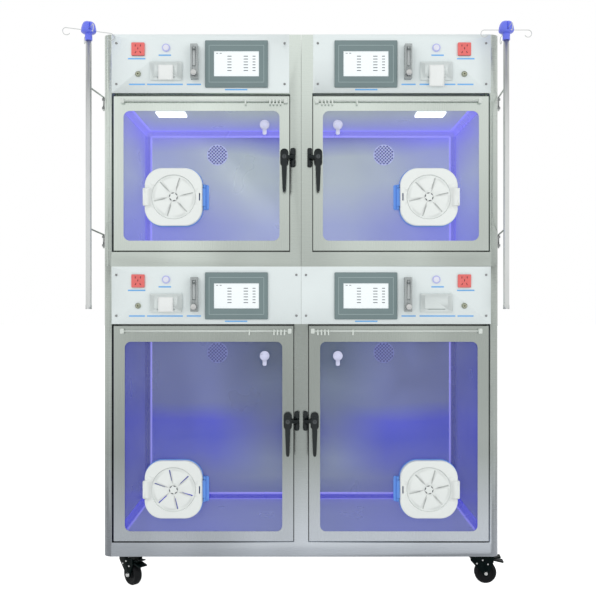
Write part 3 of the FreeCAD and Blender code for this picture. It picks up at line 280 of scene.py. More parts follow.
class Finish(NodeWork):
    """A principled material and the few nodes that its pattern needs."""

    made = {}

    def __init__(self, name, colour, metallic=0.0, roughness=0.5):
        material = bpy.data.materials.new(name)
        material.use_nodes = True
        material.diffuse_color = (*colour, 1)
        super().__init__(material.node_tree)
        self.shader = self.tree.nodes["Principled BSDF"]
        self.set(Base_Color=colour, Metallic=metallic, Roughness=roughness)
        Finish.made[name] = material

    def set(self, **inputs):
        for name, value in inputs.items():
            self.feed(self.shader.inputs[name.replace("_", " ")], value)

    def noise(self, scale, detail=3.0, stretch=(1, 1, 1), distortion=0.0):
        """A noise in object coordinates, stretched."""
        where = self.add("ShaderNodeTexCoord").outputs["Object"]
        mapping = self.add("ShaderNodeMapping", Vector=where, Scale=stretch)
        noise = self.add("ShaderNodeTexNoise", Vector=mapping.outputs["Vector"], Scale=scale, Detail=detail,
                         Distortion=distortion)
        return noise.outputs["Fac"]

    def along(self, axis, low, high):
        """0 at the low place on an axis and 1 at the high one; X counts from the middle outwards."""
        where = self.add("ShaderNodeTexCoord").outputs["Object"]
        value = self.add("ShaderNodeSeparateXYZ", Vector=where).outputs[axis]
        return self.spread(self.maths("ABSOLUTE", value) if axis == "X" else value, low, high)

    def ramp(self, value, stops):
        """Colours at places between 0 and 1."""
        band = self.add("ShaderNodeValToRGB", Fac=value)
        levels = band.color_ramp
        for place, _ in stops[1:-1]:
            levels.elements.new(place)
        for element, (_, colour) in zip(levels.elements, stops):
            element.color = (*colour, 1)
        return band.outputs["Color"]

    def facing(self):
        """How squarely a face looks along each axis, from 0 to 1."""
        normal = self.add("ShaderNodeNewGeometry").outputs["Normal"]
        size = self.add("ShaderNodeVectorMath", "ABSOLUTE", Vector=normal).outputs[0]
        return self.add("ShaderNodeSeparateXYZ", Vector=size).outputs

    def mix(self, factor, first, second):
        """A blend of two colours, which a mix node takes at its inputs 6 and 7."""
        blend = self.add("ShaderNodeMix")
        blend.data_type = "RGBA"
        for key, value in (("Factor", factor), (6, first), (7, second)):
            self.feed(blend.inputs[key], value)
        return blend.outputs[2]

    def rough(self, pattern, low, high):
        """Roughness that follows a pattern."""
        self.set(Roughness=self.spread(pattern, 0.3, 0.7, low, high))

    def bump(self, height, strength, distance=0.0004):
        bump = self.add("ShaderNodeBump", Height=height, Strength=strength, Distance=distance)
        self.set(Normal=bump.outputs["Normal"])


def shade(colour, factor):
    return tuple(min(1.0, channel * factor) for channel in colour)


def sheet_steel(name, tint, roughness, reflection_cloud, grain=(1.0, 1.0, 260.0)):
    """Brushed stainless sheet with fine grain, broad darker patches of painted reflection, and painted light
    stronger towards its top.
    """
    finish = Finish(name, tint, metallic=1.0, roughness=roughness)
    height = finish.along("Z", CAD_BOX[0].z, CAD_BOX[1].z)
    stops = [(place, tuple(a * b for a, b in zip(tint, light))) for place, light in STEEL_LIGHT]
    light = finish.ramp(height, stops)
    dark = finish.ramp(height, [(place, shade(colour, 1 - reflection_cloud)) for place, colour in stops])
    # Broad patches of painted reflection darken the sheet
    patches = finish.noise(1.6, 2.0, (1.4, 1.0, 0.6), 0.1)
    finish.set(Base_Color=finish.mix(finish.spread(patches, 0.34, 0.62), dark, light))
    fine = finish.noise(9.0, 4.0, grain)
    finish.rough(fine, roughness - 0.05, roughness + 0.06)
    finish.bump(fine, 0.015, 0.0002)


def glow_steel(name, low, high, wall, glow):
    """Liner sheet under the chamber light, from its foot to its top, with that light painted in soft pools
    and glowing.
    """
    near, far, (axis, start, end) = wall
    finish = Finish(name, near[0][1], metallic=0.5, roughness=0.3)
    soft = finish.spread(finish.noise(1.8, 1.0, (1.0, 1.0, 1.3), 0.6), 0.25, 0.75, -0.04, 0.04)
    height = finish.maths("ADD", finish.along("Z", low, high), soft)
    colour = finish.mix(finish.along(axis, start, end), finish.ramp(height, near), finish.ramp(height, far))
    finish.set(Base_Color=colour, Emission_Color=colour, Emission_Strength=glow)
    finish.rough(finish.noise(6.0, 2.0), 0.27, 0.33)


def cove_steel(name, upright, lying, edge, glow):
    """The rounded corners of a liner: painted shade deep in the bend, painted light where it meets a wall or
    floor.
    """
    finish = Finish(name, edge, metallic=0.4, roughness=0.25)
    facing = finish.facing()
    most = finish.maths("MAXIMUM", facing["Y"], facing["Z"])
    bend = finish.mix(finish.spread(facing["Z"], 0.1, 0.3), upright, lying)
    colour = finish.mix(finish.spread(most, 0.88, 0.96), bend, edge)
    finish.set(Base_Color=colour, Emission_Color=colour, Emission_Strength=glow)
    finish.rough(finish.noise(5.0, 2.0), 0.2, 0.3)


def moulded(name, colour, roughness=0.35, grain=900.0, bump=0.06, coat=0.0, shift=0.06, gloss=0.5):
    """Moulded plastic or enamel: faint mottle in its colour and a fine skin."""
    finish = Finish(name, colour, roughness=roughness)
    mottle = finish.spread(finish.noise(6.0, 2.0), 0.3, 0.7)
    finish.set(Base_Color=finish.mix(mottle, shade(colour, 1 - shift), colour), Specular_IOR_Level=gloss)
    if coat:
        finish.set(Coat_Weight=coat, Coat_Roughness=0.12)
    skin = finish.noise(grain, 2.0)
    finish.bump(skin, bump)
    finish.rough(skin, roughness - 0.04, roughness + 0.05)


def pleated(name, colour, fold):
    """Moulded white with painted shade on its folds, darker where they turn from the front."""
    finish = Finish(name, colour, roughness=0.35)
    front = finish.spread(finish.facing()["Y"], 0.90, 0.992)
    finish.set(Base_Color=finish.mix(front, fold, colour))
    finish.bump(finish.noise(900.0, 2.0), 0.05)


def turned_metal(name, colour, roughness=0.2, dull=0.85):
    """Turned or drawn metal with faint handling marks."""
    finish = Finish(name, colour, metallic=1.0, roughness=roughness)
    marks = finish.noise(30.0, 2.0, (1.0, 1.0, 0.4))
    finish.set(Base_Color=finish.mix(finish.spread(marks, 0.35, 0.7), shade(colour, dull), colour))
    finish.rough(marks, roughness, roughness + 0.08)


def lit(name, colour, strength, gloss=0.5):
    """A lamp lens, lit ring or screen, or a surface that glows with painted chamber light."""
    finish = Finish(name, colour, roughness=0.3)
    finish.set(Emission_Color=colour, Emission_Strength=strength, Specular_IOR_Level=gloss)
    finish.rough(finish.noise(240.0, 1.0), 0.25, 0.35)


def clear_pane(name, colour, alpha, roughness=0.03):
    """Clear sheet whose part-opaque colour is its tint and a painted reflection, uneven in wipe marks that
    also vary its roughness.
    """
    finish = Finish(name, colour, roughness=roughness)
    wipes_and_reflection = finish.noise(3.0, 1.0, (1.0, 1.0, 2.5), 0.3)
    # The pale colour at this alpha is painted reflection, uneven in the wipes
    finish.set(IOR=1.5, Alpha=finish.spread(wipes_and_reflection, 0.1, 0.9, alpha * 0.8, alpha * 1.25),
               Roughness=finish.spread(wipes_and_reflection, 0.1, 0.9, roughness, roughness + 0.06))


def make_finishes(scene):
    steel, glow, port, panel = scene.cage_steel, scene.cage_glow, scene.cage_port, scene.cage_panel
    tint, white = tuple(steel.tint), tuple(port.white)
    sheet_steel("shell_steel", tint, steel.roughness, steel.reflection_cloud)
    sheet_steel("door_steel", shade(tint, 1.02), steel.roughness - 0.06, steel.reflection_cloud * 0.9,
                (240.0, 1.0, 1.0))
    for bay, walls in ((BAYS[0], LOWER_WALLS), (BAYS[2], UPPER_WALLS)):
        strength = glow.upper_strength if bay.upper else glow.lower_strength
        for side, wall in walls.items():
            glow_steel(bay.tier + "_" + side, bay.chamber[0].z, bay.chamber[1].z, wall, strength)
        cove_steel(bay.tier + "_cove", *COVES[bay.tier], tuple(glow.colour), strength * 1.5)
        lit(bay.tier + "_vent", OUTLET_COLOURS[bay.tier], strength)
    # Painted shade of the outlets' holes: dark discs that glow faintly blue
    lit("hole_dark", (0.001, 0.001, 0.17), 0.7, gloss=0.0)
    lit("lamp_lens", (0.93, 0.95, 1.0), 1.6)
    moulded("seal_rubber", (0.34, 0.36, 0.35), 0.6)
    moulded("panel_enamel", tuple(panel.enamel), 0.3, 500.0, 0.03, coat=0.3, shift=0.03)
    moulded("bar_print", tuple(panel.bar), 0.45, shift=0.12)
    moulded("bezel_plastic", (0.175, 0.24, 0.245), 0.42)
    moulded("bezel_line", (0.38, 0.48, 0.48), 0.4)
    lit("screen_face", (0.78, 0.83, 0.84), 0.2)
    moulded("screen_ink", (0.13, 0.15, 0.17), 0.5)
    moulded("printer_plastic", (0.68, 0.74, 0.73), 0.4)
    moulded("paper", (0.83, 0.86, 0.85), 0.75, 300.0, 0.1)
    moulded("socket_red", (0.80, 0.16, 0.15), 0.3)
    turned_metal("jack_brass", (0.52, 0.54, 0.42), 0.25)
    moulded("inlet_black", (0.02, 0.02, 0.022), 0.45)
    lit("button_ring", (0.36, 0.38, 0.66), 0.25)
    moulded("button_white", (0.78, 0.79, 0.90), 0.3)
    clear_pane("meter_acrylic", (0.46, 0.50, 0.50), 0.72, 0.08)
    moulded("meter_ink", (0.12, 0.14, 0.14), 0.5)
    turned_metal("knob_silver", (0.66, 0.67, 0.66), 0.22)
    turned_metal("screw_steel", (0.32, 0.33, 0.33), 0.3)
    turned_metal("tube_steel", (0.70, 0.72, 0.71), 0.34, 0.94)
    turned_metal("lock_steel", (0.10, 0.11, 0.115), 0.3)
    turned_metal("bracket_steel", (0.30, 0.31, 0.31), 0.3)
    moulded("latch_black", (0.008, 0.013, 0.014), 0.35, 700.0, 0.05, gloss=0.35)
    moulded("caster_black", (0.002, 0.006, 0.006), 0.42, 600.0, 0.05, gloss=0.05)
    moulded("wheel_rubber", (0.008, 0.009, 0.010), 0.5, 400.0, 0.15, gloss=0.12)
    moulded("head_blue", (0.13, 0.17, 0.83), 0.28, coat=0.3)
    moulded("port_white", white, 0.33, coat=0.15, shift=0.02)
    pleated("petal_white", white, shade(white, 0.68))
    moulded("seat_blue", tuple(port.blue), 0.3)
    moulded("plug_white", (0.66, 0.68, 0.90), 0.4)
    moulded("slit_shadow", (0.03, 0.035, 0.05), 0.7)
    clear_pane("door_pane", (0.62, 0.68, 0.72), 0.08)
    clear_pane("tube_glass", (0.62, 0.66, 0.66), 0.5, 0.05)
    moulded("rail_white", (0.66, 0.71, 0.67), 0.35)


# Mesh helpers


def new_object(name, mesh, *finishes):
    obj = bpy.data.objects.new(name, mesh)
    bpy.context.scene.collection.objects.link(obj)
    for finish in finishes:
        obj.data.materials.append(Finish.made[finish])
    return obj


def seat(obj, body, slot):
    """Give a piece the body that it moves with; the slot it is given is not used."""
    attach(obj, body)
    return obj


def smooth(mesh, degrees=32):
    mesh.polygons.foreach_set("use_smooth", [True] * len(mesh.polygons))
    mesh.set_sharp_from_angle(angle=math.radians(degrees))


def mesh_from(name, work):
    mesh = bpy.data.meshes.new(name)
    work.to_mesh(mesh)
    work.free()
    return mesh


def shaped(name, work, finish, degrees=0):
    """An object from a bmesh, smooth where its faces meet under the angle."""
    mesh = mesh_from(name, work)
    if degrees:
        smooth(mesh, degrees)
    return new_object(name, mesh, finish)


def merged(node):
    """A bmesh of a solid with its split corners joined again."""
    work = bmesh.new()
    work.from_mesh(frame["nodes"][node].data)
    bmesh.ops.remove_doubles(work, verts=work.verts, dist=2e-6)
    bmesh.ops.dissolve_degenerate(work, edges=work.edges, dist=1e-7)
    return work


def welded(node, finishes, choose=lambda centre, normal: 0, degrees=32):
    """A welded copy with smooth round faces stands for a solid; choose picks a finish for each face."""
    mesh = mesh_from(node, merged(node))
    obj = new_object(node + "_dressed", mesh, *finishes)
    picks = [choose(face.center, face.normal) for face in mesh.polygons]
    mesh.polygons.foreach_set("material_index", picks)
    smooth(mesh, degrees)
    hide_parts(node)
    return seat(obj, BODY_OF[node], SLOT_OF[node])


def within(centre, middle, half):
    """Whether a place lies in an upright rectangle round a middle, given half its width and height."""
    return abs(centre.x - middle.x) < half[0] and abs(centre.z - middle.z) < half[1]


def gather(name, parts, body, slot):
    """Join the made parts into one piece on one body."""
    materials, work = [], bmesh.new()
    for part in parts:
        start = len(work.faces)
        work.from_mesh(part.data)
        work.faces.ensure_lookup_table()
        for face in work.faces[start:]:
            material = part.data.materials[face.material_index]
            if material not in materials:
                materials.append(material)
            face.material_index = materials.index(material)
        bpy.data.objects.remove(part)
    obj = new_object(name, mesh_from(name, work))
    for material in materials:
        obj.data.materials.append(material)
    return seat(obj, body, slot)


def add_block(work, low, high):
    """A box in a bmesh, corners given in metres."""
    size = [abs(b - a) for a, b in zip(low, high)]
    middle = [(a + b) / 2 for a, b in zip(low, high)]
    bmesh.ops.create_cube(work, size=1.0, matrix=Matrix.Translation(middle) @ Matrix.Diagonal((*size, 1)))


def add_cone(work, foot_radius, top_radius, depth, matrix, segments=20):
    bmesh.ops.create_cone(work, cap_ends=True, segments=segments, radius1=foot_radius, radius2=top_radius,
                          depth=depth, matrix=matrix)


def add_skin(work, loops):
    """Faces between each closed loop of corners and the next one."""
    for a, b in zip(loops, loops[1:]):
        for j in range(len(a)):
            k = (j + 1) % len(a)
            work.faces.new((a[j], a[k], b[k], b[j]))


def add_plate(work, centre, width, height, y_back, y_front, radius):
    """An upright plate with round corners, facing -Y."""
    points = []
    for sx, sz, start in ((1, 1, 0), (-1, 1, 90), (-1, -1, 180), (1, -1, 270)):
        for step in range(5):
            turn = math.radians(start + step * 22.5)
            points.append((centre.x + sx * (width / 2 - radius) + radius * math.cos(turn),
                           centre.z + sz * (height / 2 - radius) + radius * math.sin(turn)))
    back, front = ([work.verts.new((x, y, z)) for x, z in points] for y in (y_back, y_front))
    work.faces.new(front)
    work.faces.new(list(reversed(back)))
    add_skin(work, [back, front])


# Repeats made with geometry nodes


class Grower(NodeWork):
    """A geometry tree with named inputs, one of them the material of what it makes."""

    def __init__(self, name, **inputs):
        super().__init__(bpy.data.node_groups.new(name, "GeometryNodeTree"))
        self.tree.interface.new_socket("Geometry", in_out="OUTPUT", socket_type="NodeSocketGeometry")
        for title, kind in (*inputs.items(), ("Material", "Material")):
            self.tree.interface.new_socket(title, in_out="INPUT", socket_type="NodeSocket" + kind)
        self.given = self.add("NodeGroupInput").outputs

    def put(self, points, shape, **turn):
        return self.add("GeometryNodeInstanceOnPoints", Points=points, Instance=shape, **turn).outputs[0]

    def close(self, instances):
        solid = self.add("GeometryNodeRealizeInstances", Geometry=instances).outputs[0]
        paint = self.add("GeometryNodeSetMaterial", Geometry=solid, Material=self.given["Material"])
        self.add("NodeGroupOutput", Geometry=paint.outputs[0])
        return self.tree


def row_tree():
    """Blocks of one size in a straight row."""
    tree = Grower("block_row", Count="Int", Start="Vector", Step="Vector", Size="Vector")
    line = tree.add("GeometryNodeMeshLine", Count=tree.given["Count"], Start_Location=tree.given["Start"],
                    Offset=tree.given["Step"])
    block = tree.add("GeometryNodeMeshCube", Size=tree.given["Size"])
    return tree.close(tree.put(line.outputs[0], block.outputs[0]))


def ring_tree():
    """Blocks of one size round a circle that faces -Y, each turned with the circle."""
    tree = Grower("block_ring", Count="Int", Radius="Float", Turn="Float", Centre="Vector", Size="Vector")
    given = tree.given
    share = tree.maths("DIVIDE", tree.add("GeometryNodeInputIndex").outputs[0], given["Count"])
    angle = tree.maths("MULTIPLY_ADD", share, math.tau, given["Turn"])
    across, up = (tree.maths("MULTIPLY", tree.maths(wave, angle), given["Radius"])
                  for wave in ("COSINE", "SINE"))
    shift = tree.add("ShaderNodeVectorMath")
    tree.feed(shift.inputs[0], tree.add("ShaderNodeCombineXYZ", X=across, Z=up).outputs[0])
    tree.feed(shift.inputs[1], given["Centre"])
    points = tree.add("GeometryNodePoints", Count=given["Count"]).outputs[0]
    place = tree.add("GeometryNodeSetPosition", Geometry=points, Position=shift.outputs[0])
    turn = tree.add("ShaderNodeCombineXYZ", Y=tree.maths("MULTIPLY", angle, -1.0))
    block = tree.add("GeometryNodeMeshCube", Size=given["Size"])
    return tree.close(tree.put(place.outputs[0], block.outputs[0], Rotation=turn.outputs[0]))


def perforation_tree():
    """Round discs of painted hole shade in a staggered grid inside a circle that faces -Y."""
    tree = Grower("perforations", Radius="Float", Margin="Float", Hole="Float", Rows="Int", Centre="Vector")
    given = tree.given
    span = tree.maths("MULTIPLY", given["Radius"], 2.0)
    grid = tree.add("GeometryNodeMeshGrid", Size_X=span, Size_Y=span, Vertices_X=given["Rows"],
                    Vertices_Y=given["Rows"])
    upright = tree.add("GeometryNodeTransform", Geometry=grid.outputs[0],
                       Rotation=(math.pi / 2, math.pi / 4, 0))
    where = tree.add("GeometryNodeInputPosition").outputs[0]
    away = tree.add("ShaderNodeVectorMath", "LENGTH", Vector=where).outputs["Value"]
    rim = tree.maths("SUBTRACT", given["Radius"], given["Margin"])
    outside = tree.add("FunctionNodeCompare", "GREATER_THAN", A=away, B=rim).outputs[0]
    kept = tree.add("GeometryNodeDeleteGeometry", Geometry=upright.outputs[0], Selection=outside).outputs[0]
    hole = tree.add("GeometryNodeMeshCircle", Vertices=10, Radius=given["Hole"])
    hole.fill_type = "NGON"
    face = tree.add("GeometryNodeTransform", Geometry=hole.outputs[0], Rotation=(math.pi / 2, 0, 0))
    move = tree.add("GeometryNodeTransform", Geometry=tree.put(kept, face.outputs[0]),
                    Translation=given["Centre"])
    return tree.close(move.outputs[0])


TREES = {}


def grown(name, tree_maker, finish, **values):
    """Run a tree with these inputs and keep its result as a plain mesh."""
    if tree_maker not in TREES:
        TREES[tree_maker] = tree_maker()
    tree = TREES[tree_maker]
    obj = new_object(name, bpy.data.meshes.new(name))
    modifier = obj.modifiers.new("grow", "NODES")
    modifier.node_group = tree
    keys = {item.name: item.identifier for item in tree.interface.items_tree if item.in_out == "INPUT"}
    for key, value in {**values, "Material": Finish.made[finish]}.items():
        modifier[keys[key]] = value
    obj.update_tag()
    graph = bpy.context.evaluated_depsgraph_get()
    mesh = bpy.data.meshes.new_from_object(obj.evaluated_get(graph))
    mesh.name = name
    obj.modifiers.remove(modifier)
    obj.data = mesh
    return obj


# Thickness of print, and how far holes and marks lie before their face
SKIN = 0.0002


# Cabinets

# A ceiling lamp: how far from the cage's middle, how far back, half the size of its lens, how far the lens
# stands over the ceiling, and how far its faces reach from there
LAMP_SIDE = 0.492
LAMP_Y = BAYS[0].chamber[0].y + 0.284
LAMP_HALF = (0.0552, 0.0342)
LENS_RISE = 0.006
LENS_REACH = 0.0085
# A face of the liner belongs to a rounded corner where no part of its normal reaches this
FLAT_NORMAL = 0.985


def dress_cabinets(scene):
    for node in ("lower_shell", "upper_left_shell", "upper_right_shell"):
        welded(node, ["shell_steel"])
    split = (BAYS[0].chamber[1].z + BAYS[2].chamber[0].z) / 2
    ceilings = [bay.chamber[1].z for bay in BAYS]

    def liner(centre, normal):
        over = abs(abs(centre.x) - LAMP_SIDE) < LAMP_HALF[0] and abs(centre.y - LAMP_Y) < LAMP_HALF[1]
        if over and min(abs(centre.z - top - LENS_RISE) for top in ceilings) < LENS_REACH:
            return 8
        sizes = [abs(normal.y), abs(normal.x), abs(normal.z)]
        wall = 3 if max(sizes) < FLAT_NORMAL else sizes.index(max(sizes))
        return wall + (4 if centre.z > split else 0)

    walls = [tier + "_" + wall for tier in ("lower", "upper") for wall in ("back", "side", "flat", "cove")]
    welded("chamber_liners", walls + ["lamp_lens"], liner)
    welded("door_gaskets", ["seal_rubber"])
    welded("latch_keepers", ["latch_black"], degrees=40)


# An air outlet: distance from the cage's middle, drop under the ceiling, thickness and taper of its disc, and
# the clear rim round its holes as a share of their pitch
OUTLET_SIDE = 0.350
OUTLET_DROP = {"upper": 0.085, "lower": 0.124}
OUTLET_THICK = 0.0014
OUTLET_TAPER = 0.001
OUTLET_RIM = 0.4
# From an opening's box, which ends short of the back wall, to that wall
WALL_BEHIND_BOX = 0.014


def perforate_outlets(scene):
    """Round perforated air outlets in the back walls of the chambers, their holes dark discs of painted
    shade.
    """
    glow = scene.cage_glow
    parts = []
    for bay in BAYS:
        wall = bay.chamber[1].y + WALL_BEHIND_BOX
        centre = Vector((bay.side * OUTLET_SIDE, wall, bay.chamber[1].z - OUTLET_DROP[bay.tier]))
        work = bmesh.new()
        add_cone(work, glow.vent_radius, glow.vent_radius - OUTLET_TAPER, OUTLET_THICK,
                 Matrix.Translation(centre - Vector((0, OUTLET_THICK / 2, 0)))
                 @ Matrix.Rotation(math.pi / 2, 4, "X"), segments=40)
        parts.append(shaped("disc", work, bay.tier + "_vent"))
        parts.append(grown("holes", perforation_tree, "hole_dark", Radius=glow.vent_radius,
                           Margin=glow.hole_pitch * OUTLET_RIM, Hole=glow.hole_radius,
                           Rows=int(2 * glow.vent_radius / glow.hole_pitch) + 1,
                           Centre=centre - Vector((0, OUTLET_THICK + SKIN, 0))))
    gather("air_outlets", parts, "cabinet", "stainless_liner")


# Doors

# Half sizes of the latch's base and of the port's seat, which belong to the solid of a door's frame
BASE_HALF = (0.0145, 0.031)
SEAT_HALF = (0.125, 0.104)
# The curtain rail and its hooks lie in this much of a door's height, from its top
RAIL_DROP = 0.060
# The lock's face stands this far before the door, and the port's hinge starts this far from the port's middle
LOCK_FACE = 0.0285
KNUCKLE_SIDE = 0.0982


def dress_doors(scene):
    for bay in BAYS:
        front, hub, port = bay.front_face, bay.hub, bay.port
        rail_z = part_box(bay.name + "_door_frame")[1].z - RAIL_DROP
        knuckle = port.x - bay.side * KNUCKLE_SIDE

        def choose(centre, normal):
            if centre.y < front and within(centre, hub, BASE_HALF):
                return 2
            if within(centre, port, SEAT_HALF):
                return 1
            return 3 if centre.y < front - 0.0001 and centre.z > rail_z else 0

        welded(bay.name + "_door_frame", ["door_steel", "seat_blue", "latch_black", "rail_white"], choose)
        welded(bay.name + "_door_glass", ["door_pane"])
        welded(bay.name + "_latch", ["latch_black", "lock_steel"],
               lambda centre, normal: int(centre.y < front - LOCK_FACE), degrees=40)
        welded(bay.name + "_port_door", ["port_white", "seat_blue"],
               lambda centre, normal: int(bay.side * (centre.x - knuckle) < 0), degrees=30)
        welded(bay.name + "_tube_plug", ["plug_white"])


# A turning vent: radii of its rings of corners up to the rim, degrees between the corners, how far it reaches
# past its solid, the radii between which its slits run, and the turns of an open and a closed one
RINGS = [0.0156, 0.0185, 0.022, 0.026] + [0.030 + 0.0038 * n for n in range(11)]
DISC_STEP = 2
VENT_EDGE = 0.0019
SLIT_SPAN = (0.029, 0.0675)
OPEN_TURN = {"lower_left": 42.0}
CLOSED_TURN = 72.0
# A petal lies this deep at the hub and twice as deep from this radius past it; its fold rises over this share
# of its width, starts and ends over these radii, and leaves this rim
PETAL_DEEP = 0.0028
PETAL_RUN = 0.055
CREST = 0.78
FOLD_START, FOLD_END, FOLD_RIM = 0.012, 0.010, 0.0015
# The disc's middle, from its rim: radius, depth behind the port's face
HUB_PROFILE = [(0.0158, 0.0030), (0.0150, 0.0012), (0.0136, 0.0)]
# The gaps round the middle, dark blocks of painted shadow: their radius, their turn from the slits and the
# size of one
GAP_RADIUS = 0.0128
GAP_TURN = 30
GAP_SIZE = (0.0026, 0.0006, 0.0076)


def make_vents(scene):
    """The turning vents, with pleated petals and painted shadow in the gaps round the hub."""
    settings = scene.cage_port
    share = 360.0 / settings.petals
    turns = list(range(0, 360, DISC_STEP))
    for bay in BAYS:
        low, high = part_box(bay.name + "_vent_rotor")
        radius = (high.x - low.x) / 2 + VENT_EDGE
        phase = OPEN_TURN.get(bay.name, CLOSED_TURN)
        rings = RINGS + [radius - 0.001, radius]
        work = bmesh.new()

        def depth(r, degrees):
            out = r - RINGS[0]
            slope = PETAL_DEEP + PETAL_DEEP * min(1.0, out / PETAL_RUN)
            u = ((degrees - phase) % share) / share
            rise = math.sin(math.pi * u / (2 * CREST))
            fall = math.cos(math.pi * (u - CREST) / (2 - 2 * CREST))
            window = min(1.0, out / FOLD_START) * min(1.0, max(0.0, (radius - FOLD_RIM - r) / FOLD_END))
            return slope - settings.pleat * (rise if u < CREST else fall) * window

        def corner(r, degrees, y):
            turn = math.radians(degrees)
            return work.verts.new((bay.port.x + r * math.cos(turn), y, bay.port.z + r * math.sin(turn)))

        places = [((i, j), r, d) for i, r in enumerate(rings) for j, d in enumerate(turns)]
        front = {key: corner(r, d, bay.port.y + depth(r, d)) for key, r, d in places}
        rear = {key: corner(r, d, high.y) for key, r, d in places}

        def filled(i, j):
            if not 0 <= i < len(rings) - 1:
                return False
            off = (turns[j % len(turns)] + DISC_STEP / 2 - phase) % share
            slit = min(off, share - off) < DISC_STEP * 1.01 and SLIT_SPAN[0] < rings[i] < SLIT_SPAN[1]
            return not slit

        for i in range(len(rings) - 1):
            for j in range(len(turns)):
                if not filled(i, j):
                    continue
                k = (j + 1) % len(turns)
                work.faces.new((front[i, j], front[i, k], front[i + 1, k], front[i + 1, j]))
                work.faces.new((rear[i, j], rear[i + 1, j], rear[i + 1, k], rear[i, k]))
                for near, a, b in (((i - 1, j), (i, j), (i, k)), ((i + 1, j), (i + 1, k), (i + 1, j)),
                                   ((i, j - 1), (i + 1, j), (i, j)), ((i, j + 1), (i, k), (i + 1, k))):
                    if not filled(*near):
                        work.faces.new((front[a], rear[a], rear[b], front[b]))
        loops = [[corner(r, d, bay.port.y + y) for d in range(0, 360, 10)] for r, y in HUB_PROFILE]
        add_skin(work, loops)
        work.faces.new(loops[-1])
        bmesh.ops.recalc_face_normals(work, faces=work.faces)
        disc = shaped(bay.name + "_petals", work, "petal_white", 38)
        gaps = grown(bay.name + "_hub_gaps", ring_tree, "slit_shadow", Count=settings.petals,
                     Radius=GAP_RADIUS, Turn=math.radians(phase + GAP_TURN),
                     Centre=bay.port - Vector((0, SKIN / 2, 0)), Size=GAP_SIZE)
        vent = gather(bay.name + "_petal_disc", [disc, gaps], bay.name + "_vent_rotor", "port_white")
        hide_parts(bay.name + "_vent_rotor")


# Panels

# A power socket: half its width, how far its face stands before the panel, and where its slots begin and end
# behind that face
SOCKET_HALF = 0.0215
SOCKET_RISE = 0.005
SLOT_MOUTH = 0.0008
SLOT_END = 0.0035
# The mains inlets lie this near the back of the cage, and a button's ring lies inside this radius
INLET_REACH = 0.01
RING_REACH = 0.0145
# Round corners of a printed bar
BAR_CORNER = 0.0008


def ring_face(centre, normal):
    """1 for the faces of the ring round a push button."""
    spots = [bay.spot("button") for bay in BAYS if centre.y < bay.panel_face - SKIN]
    return int(any(math.hypot(centre.x - spot.x, centre.z - spot.z) < RING_REACH for spot in spots))


def dress_panels(scene):
    welded("control_panels", ["panel_enamel", "button_ring"], ring_face)
    welded("panel_screws", ["screw_steel"])
    for bay in BAYS:
        welded(bay.name + "_power_button", ["button_white"])
        welded(bay.name + "_flow_knob", ["knob_silver", "screw_steel"],
               lambda centre, normal: int(abs(normal.y) < 0.7), degrees=35)
    welded("printers", ["printer_plastic"], degrees=30)
    middles = [bay.spot("meter").z for bay in BAYS]
    back = CAD_BOX[1].y - INLET_REACH
    socket_front = BAYS[0].panel_face - SOCKET_RISE

    def outlet(centre, normal):
        """A socket's face, or its slots in painted shadow, over the panel's middle; a jack under it; an inlet
        at the back.
        """
        if centre.y > back:
            return 2
        if centre.z < min(middles, key=lambda middle: abs(middle - centre.z)):
            return 1
        deep = centre.y - socket_front
        slot_side = (deep > SLOT_MOUTH and max(abs(normal.x), abs(normal.z)) > 0.3
                     and abs(abs(centre.x) - PANEL_ITEMS["socket"][0]) < SOCKET_HALF)
        # The slots' sides and depths get painted shadow
        return 3 if slot_side or deep > SLOT_END else 0

    welded("panel_outlets", ["socket_red", "jack_brass", "inlet_black", "slit_shadow"], outlet)
    parts = []
    for bay in BAYS:
        y = bay.panel_face
        for across, rise, width in LABEL_BARS:
            work = bmesh.new()
            add_plate(work, Vector((bay.side * across, 0, bay.knob.z + rise)), width,
                      scene.cage_panel.bar_height, y, y - SKIN, BAR_CORNER)
            parts.append(shaped("bar", work, "bar_print"))
    gather("printed_bars", parts, "cabinet", "panel_white")


# A screen: half its lit face, how deep that lies in the bezel, and the raised line on the bezel
SCREEN_HALF = (0.0765, 0.0425)
GLASS_DEEP = 0.0013
LINE_WIDTH, LINE_HEIGHT, LINE_THICK = 0.187, 0.126, 0.0014
# The page: thickness of its marks, start and width of each column, top row, and height and pitch of the rows
INK = 0.0003
COLUMNS = ((-0.024, 0.014), (0.032, 0.015), (0.060, 0.010))
ROW_TOP, ROW_HEIGHT, ROW_PITCH = 0.026, 0.0026, 0.0098
# The two words of its title: place of the first, distance to the second, width, height
TITLE_SIDE, TITLE_TOP, TITLE_STEP = -0.066, 0.036, 0.012
TITLE_WIDTH, TITLE_HEIGHT = 0.007, 0.0018


